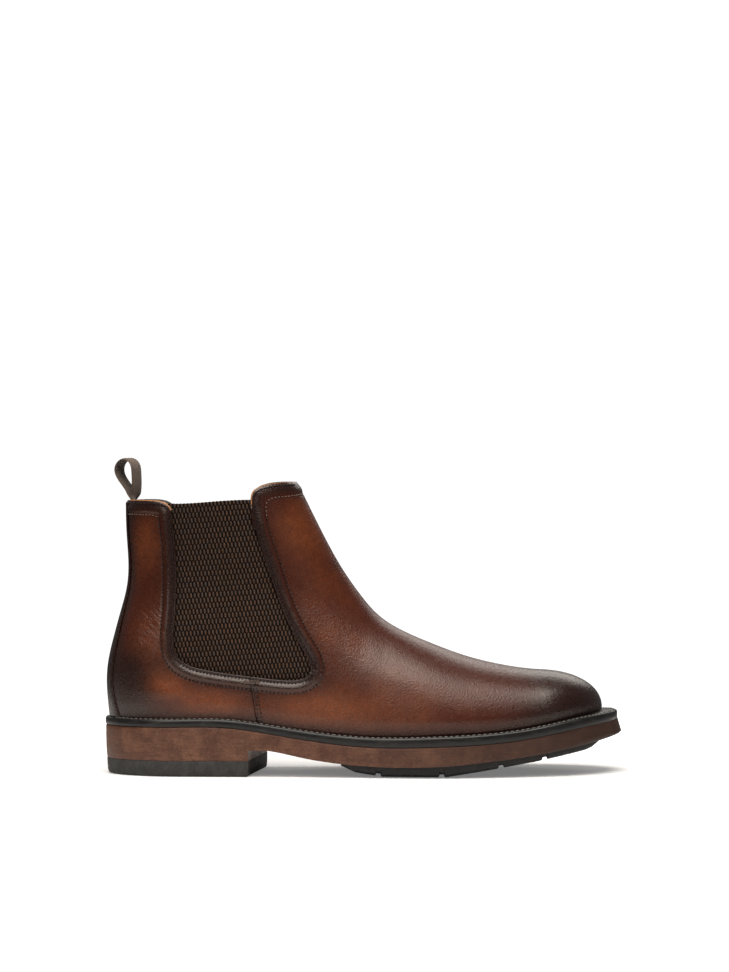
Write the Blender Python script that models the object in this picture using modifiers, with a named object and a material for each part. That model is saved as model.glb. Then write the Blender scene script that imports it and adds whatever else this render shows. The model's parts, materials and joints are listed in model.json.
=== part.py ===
"""Chelsea boot, right foot: a leather upper with elastic gores on a welted, heeled sole.

Outlines are in millimetres and become metres where a mesh is made. +X runs to the toe, +Z up
and -Y is the outer (lateral) side of the foot. The origin is the middle of the heel's flat
underside, which stands on the ground.

The upper's outer skin is one implicit form: a half width that falls to zero, like a
superellipse, towards the top line, the back line and the toe. Every panel is a patch drawn in
side view (x, z) and laid on that skin at its own depth below it.
"""
import math

import bmesh
import bpy
import numpy as np
from mathutils import Matrix

MM = 0.001
GAP = 0.3
LATERAL, MEDIAL = -1, 1
SIDES = {"lateral": LATERAL, "medial": MEDIAL}

# Driving dimensions of the upper, in side view.
TOE_TIP = 254.0
TOE_ROUND = 36.0
HEEL_ROUND = 50.0
FULLNESS = 2.15
TOP_LINE = [(71, 174), (85, 145.5), (96, 125), (107, 108.5), (118, 95.3), (131, 86), (150, 77.3),
            (171, 69.3), (192, 64), (214, 60.9), (235, 60.3), (270, 60.0)]
BACK_LINE = [(30, -39.8), (42, -41), (56, -41.8), (67, -40.8), (81, -37.6), (96, -33.5),
             (110, -29.9), (121, -28.8), (142, -29.8), (175, -30.2)]
TOP_ROUND = [(60, 50), (85, 52), (110, 56), (140, 50), (180, 40), (214, 31), (235, 25), (254, 22.5)]
FOOT_WIDTH = {
    LATERAL: [(-45, 33), (0, 34.5), (40, 36), (80, 39), (120, 46), (155, 51), (185, 49.5), (215, 43.5), (255, 32)],
    MEDIAL: [(-45, 33), (0, 34), (40, 32.5), (80, 32), (120, 37), (150, 42), (180, 43), (215, 39), (255, 31)],
}
SHAFT_WIDTH = [(60, 35.5), (80, 34.5), (100, 32.5), (125, 31), (175, 31)]
CENTRE_LINE = [(-45, 0), (50, 0), (110, 2.5), (160, 5.5), (210, 8.5), (270, 11.5)]
WALL_BULGE = 0.035
WALL_BULGE_HEIGHT = 10.0

# Layers of the upper, as depths below its outer skin.
LEATHER = (0.0, 1.5)
MIDDLE = (2.4, 3.3)
LINING = (4.4, 5.2)
INNER_EDGE = 6.0
BACK_SEAM_GAP = 1.2

# Panel edges in side view.
COLLAR_BACK = (-30.0, 162.5)
COLLAR_FRONT_X = 71.2
BACK_TOP_EDGE = [(-3.4, 157.0), (-5.5, 160.0), (-10, 162.0), (-16, 162.6), COLLAR_BACK]
FRONT_TOP_EDGE = [(71.2, 173.6), (60.8, 173.2), (50, 171), (46.2, 168.6), (44.8, 163.5)]
GORE_REAR_EDGE = [(-3.4, 157.0), (-1.2, 140), (-0.2, 115), (-0.8, 93.5), (-1.6, 79.5), (0.6, 71.5), (6, 66.5)]
GORE_LOWER_EDGE = [(6, 66.5), (17, 63), (43.5, 59.2), (66, 56.9), (74, 57.6), (79.2, 62.5)]
GORE_FRONT_EDGE = [(44.8, 163.5), (46, 149), (52.6, 128.5), (58.9, 109.3), (65, 93.6), (75.4, 74.4), (79.2, 62.5)]
SEAM_TOP = 43.5
SEAM_FOOT = 48.4
INSTEP_X = 118.0
BELOW_INSTEP = 96.0
TOE_CORNER = 234.0

# Heights along the sole.
WELT_TOP = [(-44, 33.6), (0, 33.8), (30, 33.6), (52, 30.8), (85, 26), (114, 23.6), (150, 24),
            (180, 25.3), (211, 28.5), (240, 33.7), (265, 36.9)]
WELT_THICKNESS = [(-44, 4.2), (40, 4.4), (100, 5.1), (265, 5.2)]
SOLE_BOTTOM = [(-44, 15.5), (54, 15.5), (63, 13.8), (75, 11.2), (96, 8.1), (136, 6.2),
               (165, 7.4), (180, 8.8), (212, 12.8), (245, 18.8), (266, 23.4)]
TREAD_BOTTOM = [(96, 7.0), (106, 2.4), (122, 0), (160, 0), (180, 3.0), (212, 8.2), (245, 14.6), (260, 18.0)]
TREAD_EDGE_LIFT = 1.8
TREAD_GROOVES = (119.5, 157.0, 192.0, 218.0)
GROOVE_DEPTH = 2.4
SOLE_HEEL = -43.5
SOLE_TOE = 264.5
SOLE_MARGIN = [(-44, 2.6), (0, 4.0), (60, 5.0), (130, 6.2), (215, 6.4), (265, 7.0)]
WELT_TIP_INSET = 1.2
HEEL_LIFT_BOTTOM = 9.3
BREAST = {LATERAL: 43.0, MEDIAL: 53.0}
HINGE = (-25.8, 0.0, 164.7)


def through(points):
    """A smooth function through the given (place, value) points, level at each turning point."""
    places, values = (np.array(column, float) for column in zip(*points))
    rises = np.diff(values) / np.diff(places)
    slopes = np.gradient(values, places)
    slopes[1:-1] = np.where(rises[1:] * rises[:-1] > 0, slopes[1:-1], 0)

    def value(place):
        place = np.clip(place, places[0], places[-1])
        k = np.clip(np.searchsorted(places, place, side="right") - 1, 0, len(places) - 2)
        span = places[k + 1] - places[k]
        t = (place - places[k]) / span
        start = (1 + 2 * t) * (1 - t) ** 2 * values[k] + t * (1 - t) ** 2 * span * slopes[k]
        end = t * t * (3 - 2 * t) * values[k + 1] - t * t * (1 - t) * span * slopes[k + 1]
        return start + end

    return value


def path(points, steps):
    """Points at the given shares (0 to 1) of the length of a smooth curve through the points."""
    points = np.array(points, float)
    chord = np.concatenate([[0], np.cumsum(np.linalg.norm(np.diff(points, axis=0), axis=1))])
    curves = [through(list(zip(chord, column))) for column in points.T]
    fine = np.linspace(0, chord[-1], 400)
    drawn = np.stack([curve(fine) for curve in curves], axis=1)
    length = np.concatenate([[0], np.cumsum(np.linalg.norm(np.diff(drawn, axis=0), axis=1))])
    at = np.interp(np.asarray(steps) * length[-1], length, fine)
    return np.stack([curve(at) for curve in curves], axis=1)


def even(count):
    return np.linspace(0, 1, count + 1)


def crowded_end(count):
    """Steps from 0 to 1 that lie closer together near 1."""
    return np.sin(even(count) * math.pi / 2)


def crowded_start(count):
    """Steps from 0 to 1 that lie closer together near 0."""
    return 1 - np.cos(even(count) * math.pi / 2)


back_line = through(BACK_LINE)
top_round = through(TOP_ROUND)
centre_line = through(CENTRE_LINE)
shaft_width = through(SHAFT_WIDTH)
welt_top = through(WELT_TOP)
welt_thickness = through(WELT_THICKNESS)
sole_bottom = through(SOLE_BOTTOM)
sole_margin = through(SOLE_MARGIN)
foot_width = {side: through(FOOT_WIDTH[side]) for side in (LATERAL, MEDIAL)}
top_curve = np.vstack([[(62, 194)], path(TOP_LINE, even(240))])


def feather(x):
    """Height of the edge where the upper meets the welt."""
    return welt_top(x) + GAP


def below_top(x, z):
    """Distance below the top line, negative above it."""
    starts = top_curve[:-1]
    steps = np.diff(top_curve, axis=0)
    to_point = np.stack([x, z], axis=-1)[..., None, :] - starts
    share = np.clip((to_point * steps).sum(-1) / (steps ** 2).sum(-1), 0, 1)
    gaps = to_point - share[..., None] * steps
    distance = np.linalg.norm(gaps, axis=-1)
    nearest = distance.argmin(-1)[..., None]
    side = to_point[..., 1] * steps[:, 0] - to_point[..., 0] * steps[:, 1]
    inside = np.take_along_axis(side, nearest, -1)[..., 0] < 0
    return np.where(inside, 1, -1) * np.take_along_axis(distance, nearest, -1)[..., 0]


def fall(distance, reach):
    """1 on an edge of the skin, 0 from reach inwards, above 1 outside."""
    return (1 - np.minimum(distance / reach, 1)) ** FULLNESS


def edge_share(x, z):
    """How close a side-view point lies to the edges of the skin: 1 on them, 0 well inside."""
    top = fall(below_top(x, z), top_round(x))
    back = fall(x - back_line(z), HEEL_ROUND)
    toe = fall(TOE_TIP - x, TOE_ROUND)
    return top + back + toe


def smooth_step(t):
    t = np.clip(t, 0, 1)
    return t * t * (3 - 2 * t)


def full_width(side, x, z):
    """Half width of the upper where no edge is near."""
    shaft = smooth_step((z - 55) / 60)
    bulge = 1 + WALL_BULGE * smooth_step((z - feather(x)) / WALL_BULGE_HEIGHT)
    return (foot_width[side](x) * (1 - shaft) + shaft_width(z) * shaft) * bulge


def skin(side, x, z, depth=0.0):
    """Points on the upper's skin at side-view places (x, z), moved inwards by depth."""
    x, z = np.broadcast_arrays(np.asarray(x, float), np.asarray(z, float))
    inside = np.clip(1 - edge_share(x, z), 0, 1)
    y = full_width(side, x, z) * inside ** (1 / FULLNESS)

    def level(x, y, z):
        return (np.abs(y) / full_width(side, x, z)) ** FULLNESS + edge_share(x, z)

    step = 0.02
    slope = np.stack([
        level(x + step, y, z) - level(x - step, y, z),
        level(x, y + step, z) - level(x, y - step, z),
        level(x, y, z + step) - level(x, y, z - step),
    ], axis=-1)
    outward = slope / np.linalg.norm(slope, axis=-1, keepdims=True)
    points = np.stack([x, y, z], axis=-1) - depth * outward
    points[..., 1] = centre_line(points[..., 0]) + side * points[..., 1]
    return points


def place_at_width(z, width):
    """The x at which the skin behind the heel is the given half width wide."""
    share = np.clip(width / shaft_width(z), 0, 1) ** FULLNESS
    return back_line(z) + HEEL_ROUND * (1 - (1 - share) ** (1 / FULLNESS))


def ridge(x):
    """Height of the upper's outline on its middle plane, from the collar over the toe."""
    x = np.asarray(x, float)
    high = np.interp(x, top_curve[:, 0], top_curve[:, 1]) + 1
    low = high - 1 - top_round(x)
    for _ in range(60):
        middle = (low + high) / 2
        outside = edge_share(x, middle) > 1
        high = np.where(outside, middle, high)
        low = np.where(outside, low, middle)
    return low


def ridge_points(start, end, steps):
    x = start + (end - start) * steps
    return np.stack([x, ridge(x)], axis=1)


def toe_points(count):
    """The outline round the toe, from its upper corner down to the feather."""
    x = TOE_CORNER + (TOE_TIP - TOE_CORNER) * crowded_end(count)
    points = np.stack([x, np.maximum(ridge(x), feather(x))], axis=1)
    points[-1] = TOE_TIP, feather(TOE_TIP)
    return points


def length_shares(line):
    """Share of a line's length that lies before each of its points."""
    length = np.concatenate([[0], np.cumsum(np.linalg.norm(np.diff(line, axis=0), axis=1))])
    return length / length[-1]


def patch(first, last, start, end):
    """A Coons patch in side view, between two long lines and the two lines that join their ends."""
    u = length_shares(first)[:, None, None]
    v = length_shares(start)[None, :, None]
    across = first[:, None] * (1 - v) + last[:, None] * v
    along = start[None] * (1 - u) + end[None] * u
    corners = (1 - u) * ((1 - v) * first[0] + v * last[0]) + u * ((1 - v) * first[-1] + v * last[-1])
    return across + along - corners


def new_material(name, colour, roughness, metallic=0.0):
    material = bpy.data.materials.new(name)
    material.use_nodes = True
    shader = material.node_tree.nodes["Principled BSDF"]
    shader.inputs["Base Color"].default_value = (*colour, 1)
    shader.inputs["Roughness"].default_value = roughness
    shader.inputs["Metallic"].default_value = metallic
    return material


def add_part(name, mesh, finish, place=(0, 0, 0)):
    """Puts a mesh in the boot's collection with its own material."""
    for polygon in mesh.polygons:
        polygon.use_smooth = True
    mesh.set_sharp_from_angle(angle=math.radians(35))
    mesh.materials.append(new_material(f"{name}_finish", *finish))
    part = bpy.data.objects.new(name, mesh)
    part.location = place
    boot.objects.link(part)
    return part


def grid_mesh(name, grids):
    """An open skin from grids of points in millimetres, welded, with its faces pointing out."""
    bm = bmesh.new()
    for points in grids:
        rows, columns = points.shape[:2]
        first = len(bm.verts)
        bmesh.ops.create_grid(bm, x_segments=rows - 1, y_segments=columns - 1, size=1)
        bm.verts.ensure_lookup_table()
        for vertex in bm.verts[first:]:
            row = round((vertex.co.x + 1) / 2 * (rows - 1))
            column = round((vertex.co.y + 1) / 2 * (columns - 1))
            vertex.co = points[row, column] * MM
    bmesh.ops.remove_doubles(bm, verts=bm.verts, dist=1e-5)
    bmesh.ops.recalc_face_normals(bm, faces=bm.faces)
    widest = max(bm.faces, key=lambda face: abs(face.calc_center_median().y))
    if widest.normal.y * widest.calc_center_median().y < 0:
        bmesh.ops.reverse_faces(bm, faces=bm.faces)
    mesh = bpy.data.meshes.new(name)
    bm.to_mesh(mesh)
    bm.free()
    return mesh


def add_shell(name, grids, layer, finish):
    """A sheet of the upper: its outer face lies on the grids and its thickness goes inwards."""
    outer, inner = layer
    part = add_part(name, grid_mesh(name, grids), finish)
    solidify = part.modifiers.new("thickness", "SOLIDIFY")
    solidify.thickness = (inner - outer) * MM
    solidify.offset = -1
    solidify.use_even_offset = True
    return part


def loft_mesh(name, rings, closed=False):
    """A solid through rings of points in millimetres; closed joins the last ring to the first."""
    bm = bmesh.new()
    loops = [[bm.verts.new(point * MM) for point in ring] for ring in np.asarray(rings, float)]
    pairs = list(zip(loops, loops[1:] + loops[:1])) if closed else list(zip(loops, loops[1:]))
    for ring, following in pairs:
        for k in range(len(ring)):
            j = (k + 1) % len(ring)
            bm.faces.new((ring[k], ring[j], following[j], following[k]))
    if not closed:
        bm.faces.new(loops[0])
        bm.faces.new(loops[-1])
    bmesh.ops.recalc_face_normals(bm, faces=bm.faces)
    mesh = bpy.data.meshes.new(name)
    bm.to_mesh(mesh)
    bm.free()
    return mesh


# --- panels of the upper, drawn in side view -------------------------------------------------

def feather_points(start, end, steps):
    x = start + (end - start) * steps
    return np.stack([x, feather(x)], axis=1)


def seam_points(steps, shift=0.0):
    """The side seam, from under the gore down to the feather."""
    top = np.array([SEAM_TOP + shift, np.interp(SEAM_TOP, *np.array(GORE_LOWER_EDGE).T)])
    foot = np.array([SEAM_FOOT + shift, feather(SEAM_FOOT)])
    return top + (foot - top) * steps[:, None]


def vamp_grids(shaft_rows, foot_rows, under_rows, columns, under_columns, drop=0.0):
    """Front panel, forefoot and the tongue of leather under the gore, in side view."""
    side_steps = crowded_start(columns)
    collar = path(FRONT_TOP_EDGE, side_steps) - [0, drop]
    shaft_ridge = ridge_points(COLLAR_FRONT_X + drop / 2, INSTEP_X, even(shaft_rows))
    collar[0] = shaft_ridge[0]
    shaft_gore = path(GORE_FRONT_EDGE, even(shaft_rows))
    shaft_gore[0, 1] -= drop
    corner = np.array(GORE_FRONT_EDGE[-1])
    instep_rung = path([(INSTEP_X, ridge(INSTEP_X)), (98, 80), corner], side_steps)
    shaft = patch(shaft_ridge, shaft_gore, collar, instep_rung)

    foot_steps = crowded_end(foot_rows)
    under_rung = path([corner, (BELOW_INSTEP, feather(BELOW_INSTEP))], even(under_columns))
    left = np.vstack([instep_rung, under_rung[1:]])
    foot_ridge = ridge_points(INSTEP_X, TOE_CORNER, foot_steps)
    foot_edge = feather_points(BELOW_INSTEP, TOE_TIP, foot_steps)
    foot = patch(foot_ridge, foot_edge, left, toe_points(len(left) - 1))

    steps = even(under_rows)
    lower = [point for point in GORE_LOWER_EDGE if point[0] > SEAM_TOP]
    under_top = path([seam_points(np.array([0.0]))[0], *lower], steps)
    under_bottom = feather_points(SEAM_FOOT, BELOW_INSTEP, steps)
    under = patch(under_top, under_bottom, seam_points(even(under_columns)), under_rung)
    return shaft, foot, under


def quarter_grid(back_rows, under_rows, columns, drop=0.0):
    """Rear panel: up the back of the gore and forward under it to the side seam."""
    heights = np.linspace(COLLAR_BACK[1] - drop, feather(SOLE_HEEL), back_rows + 1)
    back = np.stack([back_line(heights), heights], axis=1)
    heel_x = back[-1, 0]
    under = feather_points(heel_x, SEAM_FOOT, crowded_start(under_rows))
    outer = np.vstack([back, under[1:]])
    lower = [point for point in GORE_LOWER_EDGE[1:] if point[0] < SEAM_TOP + 1]
    inner = path([*GORE_REAR_EDGE, *lower], even(back_rows + under_rows))
    inner[0, 1] -= drop
    steps = 1 - crowded_start(columns)[::-1]
    top = path(BACK_TOP_EDGE, steps) - [0, drop]
    top[-1] = outer[0]
    seam = seam_points(steps, -GAP)
    inner[-1] = seam[0]
    outer[-1] = seam[-1]
    return patch(inner, outer, top, seam)


def on_both_sides(grids, depth):
    return [skin(side, grid[..., 0], grid[..., 1], depth) for side in (LATERAL, MEDIAL) for grid in grids]


def part_at_middle(grid, side):
    """Leaves a gap at the back seam between the two quarters."""
    grid = grid.copy()
    grid[..., 1] = side * np.maximum(side * grid[..., 1], BACK_SEAM_GAP / 2)
    return grid


def add_upper(leather, elastic, textile, board):
    vamp = vamp_grids(9, 15, 4, 7, 3)
    add_shell("vamp", on_both_sides(vamp, LEATHER[0]), LEATHER, leather)
    quarter = quarter_grid(8, 9, 9)
    gore = gore_grid(5.0, 5, 9)
    for word, side in SIDES.items():
        rear = part_at_middle(skin(side, quarter[..., 0], quarter[..., 1], LEATHER[0]), side)
        add_shell(f"quarter_{word}", [rear], LEATHER, leather)
        window = skin(side, gore[..., 0], gore[..., 1], MIDDLE[0])
        add_shell(f"gore_{word}", [window], MIDDLE, elastic)

    front = vamp_grids(7, 13, 3, 6, 2, drop=1.2)
    add_shell("lining_vamp", on_both_sides(front, LINING[0]), LINING, textile)
    rear = quarter_grid(7, 8, 7, drop=1.2)
    add_shell("lining_quarter", on_both_sides([rear], LINING[0]), LINING, textile)
    add_shell("toe_puff", on_both_sides([toe_puff_grid()], MIDDLE[0]), MIDDLE, board)
    add_shell("heel_counter", on_both_sides([counter_grid()], MIDDLE[0]), MIDDLE, board)


def gore_grid(hidden_edge, rows, columns):
    """Elastic side panel: the window in the leather and a margin hidden under its edges."""
    rear_edge = np.array([(-3.4, 160.6), *GORE_REAR_EDGE[1:5], (-0.6, 70)]) - [hidden_edge, 0]
    front_edge = np.array([(44.8, 163.3), *GORE_FRONT_EDGE[1:-1], (78.5, 64)]) + [hidden_edge, 0]
    rear = path(rear_edge, even(columns))
    front = path(front_edge, even(columns))
    top = path([rear[0], (23, 162.3), front[0]], even(rows))
    lower = path([rear[-1], (16, 58.5), (43.5, 54.5), (66, 52.2), (77, 53), front[-1]], even(rows))
    return patch(top, lower, rear, front)


def toe_puff_grid():
    """Stiffener over the toe, between the vamp and its lining."""
    start = 206.0
    steps = crowded_end(7)
    top = ridge_points(start, TOE_CORNER, steps)
    edge = feather_points(start - 6, TOE_TIP, steps)
    rung = path([top[0], (start - 2, 46), edge[0]], crowded_start(6))
    return patch(top, edge, rung, toe_points(6))


def counter_grid():
    """Stiffener round the heel, between the quarters and their lining."""
    top_height, wing_end, wing_top = 77.0, 38.0, 40.0
    heights = np.linspace(top_height, feather(SOLE_HEEL), 7)
    back = np.stack([back_line(heights), heights], axis=1)
    steps = crowded_start(9)
    edge = feather_points(back[-1, 0], wing_end, steps)
    top = path([back[0], (-24, 68), (0, 51), (wing_end, wing_top)], steps)
    wing = np.linspace(top[-1], edge[-1], 7)
    return patch(top, edge, back, wing)


def add_backstay(leather):
    """Strap over the back seam, wider at the foot, on the outside of both quarters."""
    heights = np.linspace(feather(SOLE_HEEL) + GAP, COLLAR_BACK[1], 11)
    half_widths = through([(30, 20), (40, 17.5), (50, 15), (75, 12.5), (100, 8), (130, 7), (165, 6.5)])(heights)
    across = even(3)
    x = np.stack([place_at_width(z, width * across) for z, width in zip(heights, half_widths)])
    z = np.repeat(heights[:, None], len(across), axis=1)
    grids = [skin(side, x, z, -1.4) for side in (LATERAL, MEDIAL)]
    add_shell("backstay", grids, (-1.4, -0.4), leather)


# --- the sole --------------------------------------------------------------------------------

def sole_edge(side, t, inset=0.0):
    """Plan points of the sole's edge, t from the heel (0) to the toe (1), moved in by inset."""
    heel = SOLE_HEEL + inset
    toe = SOLE_TOE - inset
    x = heel + (toe - heel) * t
    rounding = 1 - fall(x - heel, HEEL_ROUND - 6) - fall(toe - x, TOE_ROUND + 8)
    width = foot_width[side](x) + sole_margin(x) - inset
    y = centre_line(x) + side * width * np.clip(rounding, 0, 1) ** (1 / FULLNESS)
    return np.stack([x, y], axis=1)


def both_ends(count):
    """Steps from 0 to 1 that crowd towards both ends, and stop just short of them."""
    steps = (1 - np.cos(np.linspace(0, 1, count + 1) * math.pi)) / 2
    return np.clip(steps, 0.0006, 0.9994)


def slab_mesh(name, left, right, low, high):
    """A solid between two plan edges, from height low(x) to height high(x)."""
    rings = []
    for a, b in zip(left, right):
        rings.append([(*a, low(a[0])), (*b, low(b[0])), (*b, high(b[0])), (*a, high(a[0]))])
    return loft_mesh(name, rings)


def constant(height):
    return lambda x: height


def welt_bottom(x):
    return welt_top(x) - welt_thickness(x)


def midsole_top(x):
    return welt_bottom(x) - GAP


def add_welt(finish):
    """Closed band round the upper's foot, on the sole's edge."""
    steps = both_ends(26)
    width = 13.5
    outer = np.vstack([sole_edge(LATERAL, steps, WELT_TIP_INSET), sole_edge(MEDIAL, steps, WELT_TIP_INSET)[::-1]])
    inner = np.vstack([sole_edge(LATERAL, steps, width), sole_edge(MEDIAL, steps, width)[::-1]])
    rings = [
        [(*a, welt_bottom(a[0])), (*a, welt_top(a[0])), (*b, welt_top(b[0])), (*b, welt_bottom(b[0]))]
        for a, b in zip(outer, inner)
    ]
    return add_part("welt", loft_mesh("welt", rings, closed=True), finish)


def add_sole(brown, rubber, cork, steel, board, textile):
    steps = both_ends(26)
    edges = [sole_edge(side, steps) for side in (LATERAL, MEDIAL)]
    midsole = add_part("midsole", slab_mesh("midsole", *edges, sole_bottom, midsole_top), brown)

    heel_steps = both_ends(14)
    lift = add_heel_layer("heel_lift", heel_steps, 0.4, HEEL_LIFT_BOTTOM, 15.5 - GAP, brown)
    add_heel_layer("heel_top_piece", heel_steps, 1.2, 0.0, HEEL_LIFT_BOTTOM - GAP, rubber)
    add_tread(rubber)

    cork_steps = both_ends(14)
    cork_start = 104.0
    inset = 14.2
    edges = [sole_edge(side, cork_share(cork_steps, cork_start, inset), inset) for side in (LATERAL, MEDIAL)]
    filler = slab_mesh("cork_filler", *edges, welt_bottom, lambda x: welt_top(x) - GAP)
    add_part("cork_filler", filler, cork)

    shank_x = np.linspace(-8, 100, 13)
    half = 7.0
    left = np.stack([shank_x, np.full(13, -half)], axis=1)
    right = np.stack([shank_x, np.full(13, half)], axis=1)
    shank = slab_mesh("shank", left, right, welt_bottom, lambda x: welt_bottom(x) + 1.6)
    add_part("shank", shank, steel)

    add_inner_layer("insole_board", INNER_EDGE, 0.0, 2.2, board)
    add_inner_layer("sock_liner", INNER_EDGE + 0.4, 2.2 + GAP, 4.6, textile)
    return lift, midsole


def cork_share(steps, start, inset):
    """Steps of the sole's edge from the given x to the toe."""
    first = (start - SOLE_HEEL - inset) / (SOLE_TOE - SOLE_HEEL - 2 * inset)
    return np.clip(first + (1 - first) * np.sin(steps * math.pi / 2), 0, 0.9994)


def add_heel_layer(name, steps, inset, low, high, finish):
    """A layer of the heel, cut off in front by the slanted breast."""
    edges = []
    for side in (LATERAL, MEDIAL):
        length = (BREAST[side] - SOLE_HEEL - inset) / (SOLE_TOE - SOLE_HEEL - 2 * inset)
        share = crowded_start(len(steps) - 1) * length
        edges.append(sole_edge(side, np.clip(share, 0.0006, 1), inset))
    return add_part(name, slab_mesh(name, *edges, constant(low), constant(high)), finish)


def add_tread(finish):
    """Rubber forepart: a plate with cross grooves and edges that rise from the ground."""
    start, end, inset, bevel = 97.0, 251.0, 3.0, 6.0
    places, heights = zip(*TREAD_BOTTOM)
    stations = set(np.linspace(start, end, 13))
    for groove in TREAD_GROOVES:
        stations = {x for x in stations if abs(x - groove) > 4.5}
        stations |= {groove - 2.6, groove - 1.6, groove + 1.6, groove + 2.6}
    stations = np.array(sorted(stations))
    share = (stations - SOLE_HEEL - inset) / (SOLE_TOE - SOLE_HEEL - 2 * inset)
    rings = []
    edges = {side: sole_edge(side, share, inset) for side in (LATERAL, MEDIAL)}
    for k, x in enumerate(stations):
        lateral, medial = edges[LATERAL][k, 1], edges[MEDIAL][k, 1]
        groove = any(abs(x - place) < 2 for place in TREAD_GROOVES)
        top = sole_bottom(x) - GAP
        low = np.interp(x, places, heights) + (GROOVE_DEPTH if groove else 0)
        low = min(low, top - 1.0)
        rim = min(low + TREAD_EDGE_LIFT, top - 0.8)
        width = min(bevel, (medial - lateral) / 4)
        rings.append([
            (x, lateral, top), (x, lateral, rim), (x, lateral + width, low),
            (x, medial - width, low), (x, medial, rim), (x, medial, top),
        ])
    return add_part("forepart_tread", loft_mesh("forepart_tread", rings), finish)


def add_inner_layer(name, depth, low, high, finish):
    """A layer inside the upper, above the welt, whose edge follows the skin."""
    t = both_ends(18)
    edges = []
    for side in (LATERAL, MEDIAL):
        heel = back_line(feather(SOLE_HEEL)) + 0.05
        x = heel + (TOE_TIP - 0.05 - heel) * t
        edges.append(skin(side, x, feather(x), depth)[:, :2])
    base = lambda x: feather(x) + low
    top = lambda x: feather(x) + high
    return add_part(name, slab_mesh(name, *edges, base, top), finish)


def add_nails(lift, midsole, finish):
    """Five heel nails, driven up from under the heel layer into the midsole."""
    places = [(-28, 0), (-12, -18), (-12, 18), (20, -20), (22, 20)]
    foot, tip = HEEL_LIFT_BOTTOM + 0.2, 24.0
    head, shank, clearance = 2.0, 1.2, 0.4
    profile = [(0, tip), (shank, tip - 3), (shank, foot + 1), (head, foot + 1), (head, foot), (0, foot)]
    for number, (x, y) in enumerate(places, 1):
        bm = bmesh.new()
        verts = [bm.verts.new((radius * MM, 0, height * MM)) for radius, height in profile]
        for a, b in zip(verts, verts[1:]):
            bm.edges.new((a, b))
        mesh = bpy.data.meshes.new(f"heel_nail_{number}")
        bm.to_mesh(mesh)
        bm.free()
        nail = add_part(f"heel_nail_{number}", mesh, finish, (x * MM, y * MM, 0))
        turn = nail.modifiers.new("turned", "SCREW")
        turn.steps = turn.render_steps = 10
        turn.use_merge_vertices = True
        turn.merge_threshold = 1e-5
        radius, low, high = head + clearance, HEEL_LIFT_BOTTOM - 1, tip + clearance
        bpy.ops.mesh.primitive_cylinder_add(
            vertices=12, radius=radius * MM, depth=(high - low) * MM,
            location=(x * MM, y * MM, (high + low) / 2 * MM),
        )
        cutter = bpy.context.active_object
        cutter.name = f"nail_hole_{number}"
        cutter.hide_render = True
        cutter.display_type = "WIRE"
        bpy.context.collection.objects.unlink(cutter)
        cutters.objects.link(cutter)
        for layer in (lift, midsole):
            hole = layer.modifiers.new(cutter.name, "BOOLEAN")
            hole.operation = "DIFFERENCE"
            hole.object = cutter


# --- the pull tab ----------------------------------------------------------------------------

def add_pull_tab(finish):
    """Webbing loop that tips on the collar, and its end sewn between quarter and lining."""
    width, half_thick, steps = 13.0, 0.8, 26
    centre = path([(-0.9, -0.5), (-5.5, 6), (-11.0, 12.5), (-11.8, 17.3), (-9.4, 21.3), (-4.6, 22.6),
                   (-0.6, 20), (1.2, 14), (1.5, 7), (0.9, -0.5)], even(steps))
    run = np.gradient(centre, axis=0)
    side = np.stack([-run[:, 1], run[:, 0]], axis=1) / np.linalg.norm(run, axis=1, keepdims=True)
    outer = centre + side * half_thick
    hole = [point for point in centre - side * half_thick if point[1] > 2.4]
    curve = bpy.data.curves.new("pull_tab", "CURVE")
    curve.dimensions = "2D"
    curve.fill_mode = "BOTH"
    curve.extrude = width / 2 * MM
    for outline in (outer, hole):
        spline = curve.splines.new("POLY")
        spline.points.add(len(outline) - 1)
        for point, (across, up) in zip(spline.points, outline):
            point.co = (across * MM, up * MM, 0, 1)
        spline.use_cyclic_u = True
    drawn = bpy.data.objects.new("pull_tab_outline", curve)
    drawn.rotation_euler = (math.pi / 2, 0, 0)
    boot.objects.link(drawn)
    bpy.context.view_layer.update()
    mesh = bpy.data.meshes.new_from_object(drawn.evaluated_get(bpy.context.evaluated_depsgraph_get()))
    bm = bmesh.new()
    bm.from_mesh(mesh)
    bmesh.ops.remove_doubles(bm, verts=bm.verts, dist=1e-6)
    bmesh.ops.recalc_face_normals(bm, faces=bm.faces)
    bm.transform(Matrix.Rotation(math.pi / 2, 4, "X"))
    bm.to_mesh(mesh)
    bm.free()
    bpy.data.objects.remove(drawn)
    mesh.name = "pull_tab"
    add_part("pull_tab", mesh, finish, [value * MM for value in HINGE])

    heights = np.linspace(138.0, 161.6, 5)
    across = even(2)
    x = np.stack([place_at_width(z, width / 2 * across) for z in heights])
    z = np.repeat(heights[:, None], len(across), axis=1)
    grids = [skin(side, x, z, MIDDLE[0]) for side in (LATERAL, MEDIAL)]
    add_shell("pull_tab_tail", grids, MIDDLE, finish)


for thing in list(bpy.data.objects):
    bpy.data.objects.remove(thing)
boot = bpy.data.collections.new("chelsea_boot")
cutters = bpy.data.collections.new("cutters")
bpy.context.scene.collection.children.link(boot)
bpy.context.scene.collection.children.link(cutters)

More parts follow.
